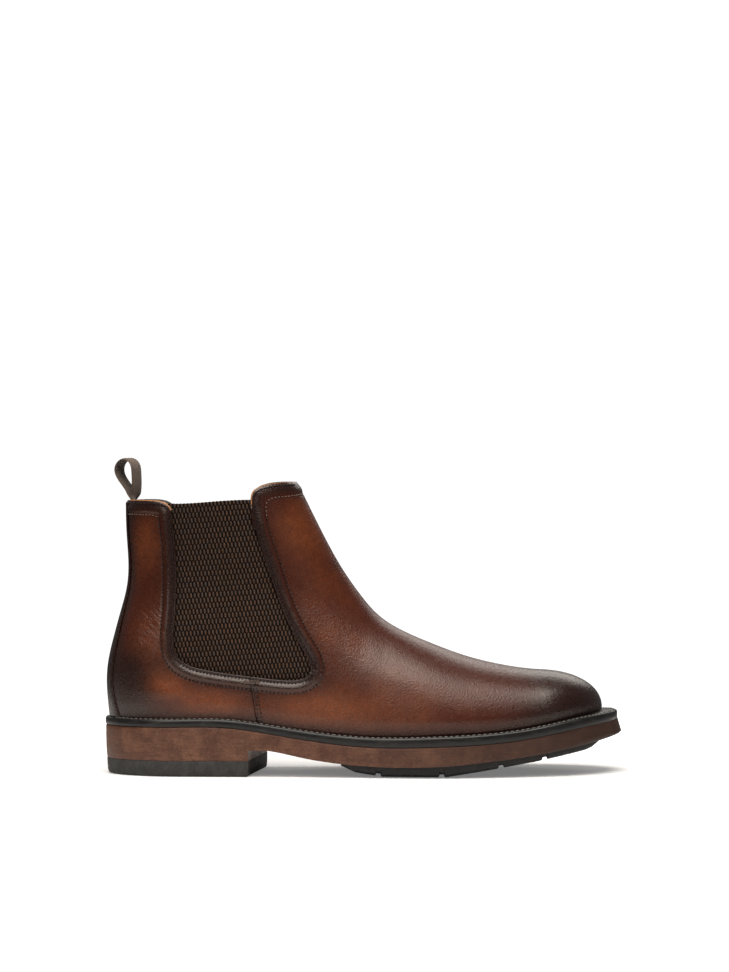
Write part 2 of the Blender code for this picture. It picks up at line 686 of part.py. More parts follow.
# Finishes: colour, roughness and, for steel, metallic.
LEATHER_FINISH = ((0.165, 0.045, 0.017), 0.42)
BURNISHED_FINISH = ((0.06, 0.022, 0.012), 0.4)
ELASTIC_FINISH = ((0.05, 0.033, 0.02), 0.85)
TEXTILE_FINISH = ((0.07, 0.062, 0.055), 0.9)
BOARD_FINISH = ((0.42, 0.3, 0.18), 0.85)
WELT_FINISH = ((0.016, 0.014, 0.013), 0.5)
SOLE_FINISH = ((0.13, 0.055, 0.03), 0.5)
RUBBER_FINISH = ((0.03, 0.028, 0.026), 0.8)
CORK_FINISH = ((0.3, 0.17, 0.08), 0.95)
STEEL_FINISH = ((0.55, 0.55, 0.56), 0.35, 1.0)
WEBBING_FINISH = ((0.08, 0.055, 0.04), 0.9)

add_upper(LEATHER_FINISH, ELASTIC_FINISH, TEXTILE_FINISH, BOARD_FINISH)
add_backstay(BURNISHED_FINISH)
add_welt(WELT_FINISH)
heel_lift, sole = add_sole(
    SOLE_FINISH, RUBBER_FINISH, CORK_FINISH, STEEL_FINISH, BOARD_FINISH, TEXTILE_FINISH
)
add_nails(heel_lift, sole, STEEL_FINISH)
add_pull_tab(WEBBING_FINISH)
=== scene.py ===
"""Looks of the chelsea boot: leather, woven elastic, stitching, welt and sole round the CAD frame.

Lengths are in millimetres and become metres where a mesh is made; the studio's are in metres.
+X runs to the toe, +Z up, and -Y is the outer (lateral) side. Pieces are drawn in the row frame,
so their transforms stay identity.
"""
import json
import math

import bmesh
import bpy
import numpy as np
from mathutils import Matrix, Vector


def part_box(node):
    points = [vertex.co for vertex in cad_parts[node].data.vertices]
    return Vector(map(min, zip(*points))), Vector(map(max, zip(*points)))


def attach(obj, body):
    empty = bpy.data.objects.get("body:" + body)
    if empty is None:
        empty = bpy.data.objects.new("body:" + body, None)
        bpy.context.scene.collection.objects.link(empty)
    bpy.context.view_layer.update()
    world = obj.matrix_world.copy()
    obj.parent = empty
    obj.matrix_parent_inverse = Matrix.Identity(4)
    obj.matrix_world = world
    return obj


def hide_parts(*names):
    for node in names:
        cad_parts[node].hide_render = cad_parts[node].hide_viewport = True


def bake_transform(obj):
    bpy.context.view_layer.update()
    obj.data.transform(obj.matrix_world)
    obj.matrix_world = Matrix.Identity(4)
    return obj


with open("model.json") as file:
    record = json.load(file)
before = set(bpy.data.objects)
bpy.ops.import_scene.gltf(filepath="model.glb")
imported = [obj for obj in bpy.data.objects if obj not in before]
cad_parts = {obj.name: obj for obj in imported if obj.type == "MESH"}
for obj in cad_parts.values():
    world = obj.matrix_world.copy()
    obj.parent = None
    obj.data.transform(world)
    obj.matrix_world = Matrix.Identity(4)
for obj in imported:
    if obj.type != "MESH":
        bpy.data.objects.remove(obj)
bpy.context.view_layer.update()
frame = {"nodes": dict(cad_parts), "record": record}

MM = 0.001
LATERAL, MEDIAL = -1, 1
SIDES = {"lateral": LATERAL, "medial": MEDIAL}


def millimetres(node):
    """The lowest and highest corners of a CAD node."""
    low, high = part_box(node)
    return np.array(low) / MM, np.array(high) / MM


(SOLE_HEEL, _, _), (SOLE_TOE, _, _) = millimetres("midsole")
(TREAD_START, _, _), (TREAD_END, _, _) = millimetres("forepart_tread")
TOE_TIP = millimetres("vamp")[1][0]
HEEL_LIFT_BOTTOM = millimetres("heel_lift")[0][2]
HINGE = np.array(frame["record"]["behaviour"]["joints"][0]["pos_m"]) / MM

# The upper's form in side view, as in the CAD.
TOE_ROUND = 36.0
HEEL_ROUND = 50.0
FULLNESS = 2.15
TOP_LINE = [(71, 174), (85, 145.5), (96, 125), (107, 108.5), (118, 95.3), (131, 86), (150, 77.3),
            (171, 69.3), (192, 64), (214, 60.9), (235, 60.3), (270, 60.0)]
BACK_LINE = [(30, -39.8), (42, -41), (56, -41.8), (67, -40.8), (81, -37.6), (96, -33.5),
             (110, -29.9), (121, -28.8), (142, -29.8), (175, -30.2)]
TOP_ROUND = [(60, 50), (85, 52), (110, 56), (140, 50), (180, 40), (214, 31), (235, 25), (254, 22.5)]
FOOT_WIDTH = {
    LATERAL: [(-45, 33), (0, 34.5), (40, 36), (80, 39), (120, 46), (155, 51), (185, 49.5), (215, 43.5),
              (255, 32)],
    MEDIAL: [(-45, 33), (0, 34), (40, 32.5), (80, 32), (120, 37), (150, 42), (180, 43), (215, 39), (255, 31)],
}
SHAFT_WIDTH = [(60, 35.5), (80, 34.5), (100, 32.5), (125, 31), (175, 31)]
CENTRE_LINE = [(-45, 0), (50, 0), (110, 2.5), (160, 5.5), (210, 8.5), (270, 11.5)]
WALL_BULGE, WALL_BULGE_HEIGHT = 0.035, 10.0
WELT_TOP = [(-44, 33.6), (0, 33.8), (30, 33.6), (52, 30.8), (85, 26), (114, 23.6), (150, 24),
            (180, 25.3), (211, 28.5), (240, 33.7), (265, 36.9)]
WELT_THICKNESS = [(-44, 4.2), (40, 4.4), (100, 5.1), (265, 5.2)]
SOLE_BOTTOM = [(-44, 15.5), (54, 15.5), (63, 13.8), (75, 11.2), (96, 8.1), (136, 6.2),
               (165, 7.4), (180, 8.8), (212, 12.8), (245, 18.8), (266, 23.4)]
TREAD_BOTTOM = [(96, 7.0), (106, 2.4), (122, 0), (160, 0), (180, 3.0), (212, 8.2), (243, 14.2),
                (247, 15.6), (251, 18.6)]
TREAD_GROOVES = (119.5, 157.0, 192.0, 218.0)
GROOVE_HALF_WIDTH, GROOVE_DEPTH = 1.9, 1.6
SOLE_MARGIN = [(-44, 2.6), (0, 4.0), (60, 5.0), (130, 6.2), (215, 6.4), (265, 7.0)]
BREAST = {LATERAL: 43.0, MEDIAL: 53.0}
HEEL_TOP = 15.5
HEEL_END_X = 54.0
HEEL_TAPER = 0.3
PLAN_STEPS, HEEL_STEPS = 190, 90
TOE_LEAN = 2.6
TOE_REACH = 1.6

# Panel edges in side view.
COLLAR_BACK_Z = 162.5
COLLAR_FRONT_X = 71.2
BACK_TOP_EDGE = [(-3.4, 157.0), (-5.5, 160.0), (-10, 162.0), (-16, 162.6), (-30, COLLAR_BACK_Z)]
FRONT_TOP_EDGE = [(COLLAR_FRONT_X, 173.6), (60.8, 173.2), (50, 171), (46.2, 168.6), (44.8, 163.5)]
GORE_OUTLINE = [(-3.4, 157.0), (-1.2, 140), (-0.2, 115), (-0.8, 93.5), (-1.4, 79.5), (1.2, 70.5), (7, 66),
                (17, 63), (43.5, 59.2), (66, 56.9), (74.2, 57.8), (79.3, 62), (79.4, 66.5), (75.6, 74.4),
                (65, 93.6), (58.9, 109.3), (52.6, 128.5), (46.4, 149), (44.8, 163.5)]
SEAM_TOP_X, SEAM_FOOT_X = 43.5, 48.4
INSTEP_X, BELOW_INSTEP, TOE_CORNER = 118.0, 96.0, 234.0

# Steps of the panels' grids, in the order that vamp_grids and quarter_grid take them.
VAMP_STEPS, LINING_STEPS = (80, 120, 44, 84, 34), (30, 44, 14, 20, 10)
QUARTER_STEPS, QUARTER_LINING_STEPS = (100, 80, 76), (34, 26, 20)
TUCKED_IN, BELOW_COLLAR = 0.8, 0.35

# Edges sharper than this many degrees stay crisp.
SHARP = 50

# Thicknesses.
ELASTIC_THICK, LINING_THICK, FACING_THICK, BACKSTAY_THICK, FOOTBED_THICK = 0.9, 0.7, 0.9, 1.1, 2.0

# Leather work: the band is the padded strip beside the gore, and the ledge is its flat inner edge.
LEATHER = 1.3
BAND = 7.8
BAND_RISE = 1.35
LEDGE = 1.8
EDGE_ROUND = 0.5
SEAM_RISE = 0.8
SEAM_ROWS = (1.0, 2.8)
INNER_ROW = 1.5
THREAD = 0.34
STITCH = 2.4
STITCH_RINGS, STITCH_SIDES = 6, 6
FINE_STITCH = {"pitch": 2.1, "radius": 0.28}
SEAM_STITCH = {"radius": 0.32}
TACK_STITCH = {"pitch": 1.2, "radius": 0.3, "gap": 0.05}
BACKSTAY_STITCH = {"pitch": 2.3, "radius": 0.22}
WELT_STITCH = {"pitch": 3.3, "radius": 0.42, "gap": 0.16}
STITCH_LIFT = 0.14
COLLAR_ROW = 1.5
BACKSTAY_ROW = 1.7

# Elastic: how far apart its floats are across and up, and how its rows are staggered and slanted.
WEAVE_PITCH, WEAVE_RISE = 2.2, 3.17
WEAVE_SHIFT, WEAVE_SLANT, WEAVE_LEAN, WEAVE_FILL = 0.56, 0.06, 0.08, 0.6
GORE_FOOT_Z, GORE_TOP_Z = 54.0, 161.0
MEDIAL_GORE_DROP = 1.8
GORE_REAR_EDGE = [(54, -4), (66, -5), (80, -5), (115, -3.5), (140, -4.4), (164, -6)]

# Pull tab: its middle line beside the hinge, as (forward, up).
TAB_WIDTH, TAB_THICK = 12.5, 1.25
TAB_TURN = math.radians(26)
TAB_RIB_PITCH, TAB_RIB_HEIGHT = 1.7, 0.18
TAB_LINE = [(-1.6, -16), (-1.5, -6), (-1.3, -1.5), (-2.3, 2.0), (-5.4, 6.6), (-9.2, 11.6), (-10.6, 16),
            (-8.8, 20.4), (-4.4, 22.4), (-0.4, 19.9), (1.0, 14), (1.2, 7), (0.6, 1.5), (-0.1, -1.5),
            (-0.3, -6), (-0.3, -16)]

# Studio, in metres and watts.
AMBIENT = 0.12
LAMP_COLOUR = (1.0, 0.95, 0.89)
LAMP_TARGET = (0.11, 0, 0.09)
LAMPS = {
    "overhead_softbox": ((0.06, -0.36, 1.35), (1.25, 1.3), 31),
    "front_softbox": ((-0.55, -1.8, 1.2), (1.0, 0.9), 9),
    "side_softbox": ((1.4, -1.2, 0.7), (0.7, 0.9), 0.6),
    "back_softbox": ((0.2, 1.4, 0.8), (1.4, 0.6), 5),
}
CAMERA_DISTANCE, CAMERA_HEIGHT = 2.9, 0.240
TARGET_X, TARGET_Z = 0.1114, 0.1709
VIEW_HEIGHT = 0.5808
SENSOR_MM = 36


# --- curves ----------------------------------------------------------------------------------

def smooth(points):
    """A natural cubic spline through (place, value) points, straight beyond its ends."""
    x, y = np.array(points, float).T
    h = np.diff(x)
    system = np.diag(np.r_[1, 2 * (h[:-1] + h[1:]), 1])
    system += np.diag(np.r_[h[:-1], 0], -1) + np.diag(np.r_[0, h[1:]], 1)
    bend = np.linalg.solve(system, np.r_[0, 6 * np.diff(np.diff(y) / h), 0])

    def value(place, order=0):
        place = np.asarray(place, float)
        inside = np.clip(place, x[0], x[-1])
        k = np.clip(np.searchsorted(x, inside, side="right") - 1, 0, len(x) - 2)
        a, b = x[k + 1] - inside, inside - x[k]
        slope = (
            (bend[k + 1] * b ** 2 - bend[k] * a ** 2) / (2 * h[k])
            + (y[k + 1] - y[k]) / h[k] - h[k] * (bend[k + 1] - bend[k]) / 6
        )
        if order == 1:
            return slope
        if order == 2:
            return (bend[k] * a + bend[k + 1] * b) / h[k]
        height = (
            (bend[k] * a ** 3 + bend[k + 1] * b ** 3) / (6 * h[k])
            + (y[k] / h[k] - bend[k] * h[k] / 6) * a + (y[k + 1] / h[k] - bend[k + 1] * h[k] / 6) * b
        )
        return height + slope * (place - inside)

    return value


def lengths(line):
    return np.concatenate([[0], np.cumsum(np.linalg.norm(np.diff(line, axis=0), axis=1))])


def interpolate(steps, at, line):
    return np.stack([np.interp(steps, at, column) for column in line.T], axis=1)


def resample(line, steps):
    """Points at the given shares of a polyline's length."""
    line = np.asarray(line, float)
    at = lengths(line)
    return interpolate(np.asarray(steps) * at[-1], at, line)


def path(points, steps):
    """Points at the given shares of the length of a smooth curve through the points."""
    points = np.array(points, float)
    chord = lengths(points)
    fine = np.linspace(0, chord[-1], 600)
    drawn = np.stack([smooth(list(zip(chord, column)))(fine) for column in points.T], axis=1)
    return resample(drawn, steps)


def directions(line):
    """Unit vectors along a polyline."""
    run = np.gradient(line, axis=0)
    return run / np.linalg.norm(run, axis=1, keepdims=True)


def offset_line(line, distance):
    """A side-view line moved sideways."""
    run = directions(line)
    return line + distance * np.stack([run[:, 1], -run[:, 0]], axis=1)


def even(count):
    return np.linspace(0, 1, count + 1)


def crowded_start(count):
    return 1 - np.cos(even(count) * math.pi / 2)


def crowded_end(count):
    return np.sin(even(count) * math.pi / 2)


def crowded_ends(count):
    return (1 - np.cos(even(count) * math.pi)) / 2


def ease(t):
    t = np.clip(t, 0, 1)
    return t * t * (3 - 2 * t)


def distance_to(line, x, z):
    """Distance in side view from points to a polyline."""
    x, z = np.broadcast_arrays(np.asarray(x, float), np.asarray(z, float))
    flat = np.stack([x.ravel(), z.ravel()], axis=1)
    starts, steps = line[:-1], np.diff(line, axis=0)
    squares = (steps ** 2).sum(1)
    found = np.empty(len(flat))
    for first in range(0, len(flat), 20000):
        to_point = flat[first:first + 20000, None] - starts
        share = np.clip((to_point * steps).sum(-1) / squares, 0, 1)
        gap = to_point - share[..., None] * steps
        found[first:first + 20000] = np.sqrt((gap ** 2).sum(-1).min(-1))
    return found.reshape(x.shape)


top_line = smooth(TOP_LINE)
back_line = smooth(BACK_LINE)
top_round = smooth(TOP_ROUND)
centre_line = smooth(CENTRE_LINE)
shaft_width = smooth(SHAFT_WIDTH)
welt_top = smooth(WELT_TOP)
welt_thickness = smooth(WELT_THICKNESS)
sole_bottom_curve = smooth(SOLE_BOTTOM)
sole_margin = smooth(SOLE_MARGIN)
foot_width = {side: smooth(points) for side, points in FOOT_WIDTH.items()}


# --- the upper's skin ------------------------------------------------------------------------

def below_top(x, z):
    """Distance below the top line, negative above it."""
    t = np.clip(x, 66, 268)
    for _ in range(9):
        f, slope, bend = top_line(t), top_line(t, 1), top_line(t, 2)
        pull = (t - x) + (f - z) * slope
        stiffness = 1 + slope ** 2 + np.maximum((f - z) * bend, 0)
        t = t - pull / stiffness
    distance = np.hypot(t - x, top_line(t) - z)
    return np.where(z < top_line(x), distance, -distance)


def fall(distance, reach):
    return (1 - np.minimum(distance / reach, 1)) ** FULLNESS


def edge_share(x, z):
    """How close a side-view point lies to the edges of the skin: 1 on them, 0 well inside."""
    top = fall(below_top(x, z), np.maximum(top_round(x), 22))
    return top + fall(x - back_line(z), HEEL_ROUND) + fall(TOE_TIP - x, TOE_ROUND)


def feather(x):
    """Height of the edge where the upper meets the welt."""
    return welt_top(x) + 0.3


def full_width(side, x, z):
    shaft = ease((z - 55) / 60)
    bulge = 1 + WALL_BULGE * ease((z - feather(x)) / WALL_BULGE_HEIGHT)
    return (foot_width[side](x) * (1 - shaft) + shaft_width(z) * shaft) * bulge


def skin_and_normal(side, x, z):
    """Points on the upper's skin at side-view places, and the directions out of it."""
    x, z = np.broadcast_arrays(np.asarray(x, float), np.asarray(z, float))
    inside = np.clip(1 - edge_share(x, z), 0, 1)
    y = full_width(side, x, z) * inside ** (1 / FULLNESS)

    def level(x, y, z):
        return (np.abs(y) / full_width(side, x, z)) ** FULLNESS + edge_share(x, z)

    step = 0.02
    slope = np.stack([
        level(x + step, y, z) - level(x - step, y, z),
        level(x, y + step, z) - level(x, y - step, z),
        level(x, y, z + step) - level(x, y, z - step),
    ], axis=-1)
    normal = slope / np.linalg.norm(slope, axis=-1, keepdims=True)
    points = np.stack([x, centre_line(x) + side * y, z], axis=-1)
    normal[..., 1] *= side
    return points, normal


def skin(side, x, z, depth=0.0):
    points, normal = skin_and_normal(side, x, z)
    return points - np.asarray(depth)[..., None] * normal


def ridge(x):
    """Height of the upper's outline on its middle plane."""
    x = np.asarray(x, float)
    high = top_line(x) + 1
    low = top_line(x) - top_round(x)
    for _ in range(50):
        middle = (low + high) / 2
        outside = edge_share(x, middle) > 1
        high = np.where(outside, middle, high)
        low = np.where(outside, low, middle)
    return low


def place_at_width(z, width):
    """The x at which the skin behind the heel is the given half width wide."""
    share = np.clip(width / shaft_width(z), 0, 1) ** FULLNESS
    return back_line(z) + HEEL_ROUND * (1 - (1 - share) ** (1 / FULLNESS))


# --- panel outlines --------------------------------------------------------------------------

GORE_LINE = path(GORE_OUTLINE, even(400))
CORNER_AT = int(np.argmin(np.hypot(GORE_LINE[:, 0] - 79.3, GORE_LINE[:, 1] - 62)))
SEAM_AT = int(np.argmin(np.abs(GORE_LINE[:, 0] - SEAM_TOP_X) + (GORE_LINE[:, 1] > 70) * 99))
SEAM_LINE = np.array([GORE_LINE[SEAM_AT], (SEAM_FOOT_X, feather(SEAM_FOOT_X))])
BACK_TOP = path(BACK_TOP_EDGE, even(60))
FRONT_TOP = path(FRONT_TOP_EDGE, even(60))
OPENING_LINE = resample(np.vstack([BACK_TOP[::-1], GORE_LINE[1:], FRONT_TOP[::-1][1:]]), even(170))


def shares(line):
    at = lengths(line)
    return at / at[-1]


def patch(first, last, start, end):
    """A Coons patch in side view, between two long lines and the two lines that join their ends."""
    u = shares(first)[:, None, None]
    v = shares(start)[None, :, None]
    across = first[:, None] * (1 - v) + last[:, None] * v
    along = start[None] * (1 - u) + end[None] * u
    corners = (1 - u) * ((1 - v) * first[0] + v * last[0]) + u * ((1 - v) * first[-1] + v * last[-1])
    return across + along - corners


def foot_line(start, end, steps, drop):
    x = start + (end - start) * steps
    return np.stack([x, feather(x) - drop], axis=1)


def vamp_grids(fine, drop, top_drop=0.0):
    """Front panel, forefoot and the leather under the gore; fine is the number of steps."""
    shaft_rows, foot_rows, under_rows, columns, under_columns = fine
    side_steps = crowded_ends(columns)
    collar = resample(FRONT_TOP, side_steps) - [0, top_drop]
    ridge_x = COLLAR_FRONT_X + top_drop / 2 + (INSTEP_X - COLLAR_FRONT_X - top_drop / 2) * even(shaft_rows)
    shaft_ridge = np.stack([ridge_x, ridge(ridge_x)], axis=1)
    collar[0] = shaft_ridge[0]
    shaft_gore = resample(GORE_LINE[CORNER_AT:][::-1], even(shaft_rows))
    shaft_gore[0, 1] -= top_drop
    corner = GORE_LINE[CORNER_AT]
    rung = path([shaft_ridge[-1], (99, 80), corner], side_steps)
    shaft = patch(shaft_ridge, shaft_gore, collar, rung)

    foot_steps = (crowded_end(foot_rows) + even(foot_rows)) / 2
    under_end = BELOW_INSTEP, feather(BELOW_INSTEP) - drop
    under_rung = path([corner, (89, 45), under_end], crowded_start(under_columns))
    left = np.vstack([rung, under_rung[1:]])
    x = INSTEP_X + (TOE_CORNER - INSTEP_X) * foot_steps
    foot_ridge = np.stack([x, ridge(x)], axis=1)
    toe_x = TOE_CORNER + (TOE_TIP - TOE_CORNER) * crowded_end(len(left) - 1)
    toe = np.stack([toe_x, np.maximum(ridge(toe_x), feather(toe_x))], axis=1)
    toe[-1] = TOE_TIP, feather(TOE_TIP) - drop
    foot = patch(foot_ridge, foot_line(BELOW_INSTEP, TOE_TIP, foot_steps, drop), left, toe)

    under_top = resample(GORE_LINE[SEAM_AT:CORNER_AT + 1], even(under_rows))
    under_foot = foot_line(SEAM_FOOT_X, BELOW_INSTEP, even(under_rows), drop)
    seam = np.array([under_top[0], under_foot[0]])
    under = patch(under_top, under_foot, resample(seam, crowded_start(under_columns)), under_rung)
    return shaft, foot, under


def quarter_grid(back_rows, under_rows, columns, drop, top_drop=0.0):
    """Rear panel: up the back of the gore and forward under it to the side seam."""
    heights = np.linspace(COLLAR_BACK_Z - top_drop, feather(SOLE_HEEL) - drop, back_rows + 1)
    back = np.stack([back_line(heights), heights], axis=1)
    foot = foot_line(back[-1, 0], SEAM_FOOT_X, crowded_start(under_rows), drop)
    outer = np.vstack([back, foot[1:]])
    inner = resample(GORE_LINE[:SEAM_AT + 1], even(back_rows + under_rows))
    inner[0, 1] -= top_drop
    steps = crowded_ends(columns)
    top = resample(BACK_TOP, steps) - [0, top_drop]
    top[-1] = outer[0]
    top[0] = inner[0]
    seam = resample(np.array([inner[-1], outer[-1]]), steps)
    return patch(inner, outer, top, seam)


def waves(x, z, side):
    """Slight unevenness of hand-worked leather, in millimetres."""
    slow = np.sin(x / 13.0 + 1.3 * side + 0.7 * np.sin(z / 17.0)) * np.sin(z / 15.0 + x / 41.0)
    flex = np.sin((x - 0.35 * z) / 2.3 + np.sin(z / 6.0))
    flex = flex * ease(1 - np.hypot((x - 112) / 26, (z - 74) / 22))
    swell = np.exp(-((x + 6) / 13) ** 2 - ((z - 50) / 6) ** 2)
    return 0.16 * slow + 0.07 * flex + 1.0 * swell


def groove(distance, at, width, depth):
    """Depth of the furrow that a row of stitches draws into the leather."""
    return depth * np.exp(-((distance - at) / width) ** 2)


def edge_drop(distance):
    """How far the rounded edge of a piece of leather falls away, by the distance from it."""
    return EDGE_ROUND * (1 - np.sqrt(1 - (1 - np.clip(distance / EDGE_ROUND, 0, 1)) ** 2))


def band_lift(x, z):
    """Profile of the padded band beside the gore and the flatter one under the collar's edges."""
    distance = distance_to(OPENING_LINE, x, z)
    rise = BAND_RISE * (0.4 + 0.6 * ease((161 - z) / 14))
    pad = rise * np.sin(np.pi * np.clip((distance - LEDGE) / (BAND - LEDGE), 0, 1)) ** 1.2
    rows = groove(distance, BAND, 0.6, 0.3) + groove(distance, INNER_ROW, 0.4, 0.22)
    return pad - edge_drop(distance) - rows


def leather_lift(side, x, z, front):
    """Height of the worked leather above the plain skin."""
    lift = band_lift(x, z) + waves(x, z, side)
    if front:
        seam = distance_to(SEAM_LINE, x, z)
        lift = lift + SEAM_RISE * ease(1 - seam / 7)
        for row in SEAM_ROWS:
            lift = lift - groove(seam, row, 0.35, 0.16)
    return lift


def leather_points(side, grid, front):
    """The grid on the skin, with the worked leather's relief calmed towards the middle plane."""
    x, z = grid[..., 0], grid[..., 1]
    points, normal = skin_and_normal(side, x, z)
    on_middle = edge_share(x, z) > 1 - 1e-7
    band = band_lift(x, z)
    calm = np.where(on_middle, 0, ease(np.abs(points[..., 1] - centre_line(points[..., 0])) / 5))
    lift = band + (leather_lift(side, x, z, front) - band) * calm
    points = points + lift[..., None] * normal
    points[..., 1] = np.where(on_middle, centre_line(points[..., 0]), points[..., 1])
    return points


# --- meshes ----------------------------------------------------------------------------------

def grid_arrays(points, closed_rows=False, closed_columns=False):
    """Vertices and quads of one grid of points."""
    rows, columns = points.shape[:2]
    index = np.arange(rows * columns).reshape(rows, columns)
    if closed_rows:
        index = np.vstack([index, index[:1]])
    if closed_columns:
        index = np.hstack([index, index[:, :1]])
    quads = np.stack([index[:-1, :-1], index[1:, :-1], index[1:, 1:], index[:-1, 1:]], axis=-1)
    return points.reshape(-1, 3), quads.reshape(-1, 4)


def new_object(name, verts, faces, material, sharp=None):
    """A shaded piece, its vertices in millimetres, cleaned of doubled points and facing outwards."""
    mesh = bpy.data.meshes.new(name)
    mesh.from_pydata((verts * MM).tolist(), [], faces if isinstance(faces, list) else faces.tolist())
    bm = bmesh.new()
    bm.from_mesh(mesh)
    bmesh.ops.remove_doubles(bm, verts=bm.verts, dist=4e-6)
    bmesh.ops.dissolve_degenerate(bm, edges=bm.edges, dist=1e-7)
    bmesh.ops.recalc_face_normals(bm, faces=bm.faces)
    bm.to_mesh(mesh)
    bm.free()
    mesh.shade_smooth()
    if sharp:
        mesh.set_sharp_from_angle(angle=math.radians(sharp))
    mesh.materials.append(material)
    piece = bpy.data.objects.new(name, mesh)
    bpy.context.scene.collection.objects.link(piece)
    return piece


def join_arrays(parts):
    verts, faces, start = [], [], 0
    for points, quads in parts:
        verts.append(points)
        faces.append(quads + start)
        start += len(points)
    return np.vstack(verts), np.vstack(faces)


def thicken(piece, thickness):
    solidify = piece.modifiers.new("thickness", "SOLIDIFY")
    solidify.thickness = thickness * MM
    solidify.offset = -1


def sheet(name, grids, material, thickness):
    """A leather or cloth sheet: the grids are its outer face, and it is thickened inwards."""
    verts, faces = join_arrays([grid_arrays(grid) for grid in grids])
    piece = new_object(name, verts, faces, material, SHARP)
    mesh = piece.data
    widest = max(mesh.polygons, key=lambda polygon: abs(polygon.center.y))
    if widest.normal.y * widest.center.y < 0:
        mesh.flip_normals()
    if thickness:
        thicken(piece, thickness)
    return piece


def attribute(piece, name, values):
    layer = piece.data.attributes.new(name, "FLOAT", "POINT")
    layer.data.foreach_set("value", np.asarray(values, np.float32))


def positions(piece):
    flat = np.empty(len(piece.data.vertices) * 3, np.float32)
    piece.data.vertices.foreach_get("co", flat)
    return flat.reshape(-1, 3) / MM


# Places where the leather is lighter in tone, the last one a painted highlight on the swell low on the rear
# panel: x, z, reach along x, reach along z, share.
LIGHT_TONE_AND_HIGHLIGHT_PLACES = [
    (22, 44, 44, 17, 0.7), (80, 40, 46, 20, 0.6), (120, 45, 64, 30, 0.5), (72, 146, 30, 36, 0.5),
    (84, 108, 30, 50, 0.35), (-20, 138, 20, 34, 0.5), (-12, 80, 24, 40, 0.45), (100, 80, 34, 26, 0.4),
    # Painted highlight on the swell below the back of the gore.
    (-7, 54, 26, 14, 0.7),
]


def burnish(piece):
    """Marks where the leather is polished dark: toe, heel, edges, seams and the gore's band."""
    x, _, z = positions(piece).astype(float).T
    opening = distance_to(OPENING_LINE, x, z)
    rise = z - feather(x)
    toe = ease((x - 172) / 58) * (1 - 0.2 * ease((rise - 12) / 14))
    heel = ease((4 - x) / 34) * ease((92 - z) / 34) * 0.9
    back = ease(1 - (x - back_line(z)) / 9) * 0.75
    band = ease((BAND + 0.3 - opening) / 1.2) * (0.82 - 0.57 * ease((opening - 3.5) / 3.2))
    foot = 0.6 * ease(1 - rise / 7)
    seam = 0.45 * ease(1 - distance_to(SEAM_LINE, x, z) / 4.5)
    collar = 0.3 * ease(1 - (opening - BAND) / 12)
    dark = 1 - (1 - toe) * (1 - heel) * (1 - back) * (1 - band) * (1 - foot) * (1 - seam) * (1 - collar)
    attribute(piece, "burnish", dark)
    # Lighter leather tone, plus the painted highlight on the rear swell.
    light_tone_and_highlight = sum(
        share * ease(1 - np.hypot((x - at_x) / reach_x, (z - at_z) / reach_z))
        for at_x, at_z, reach_x, reach_z, share in LIGHT_TONE_AND_HIGHLIGHT_PLACES
    )
    attribute(piece, "light_tone_and_highlight", np.clip(light_tone_and_highlight, 0, 1))
    crease = ease(1.4 - 1.4 * np.hypot((x + 16) / 20, (z - 86) / 20))
    crease = np.maximum(crease, 0.35 * ease(1 - np.hypot((x - 100) / 22, (z - 84) / 18)))
    attribute(piece, "crease", crease)


# --- materials -------------------------------------------------------------------------------

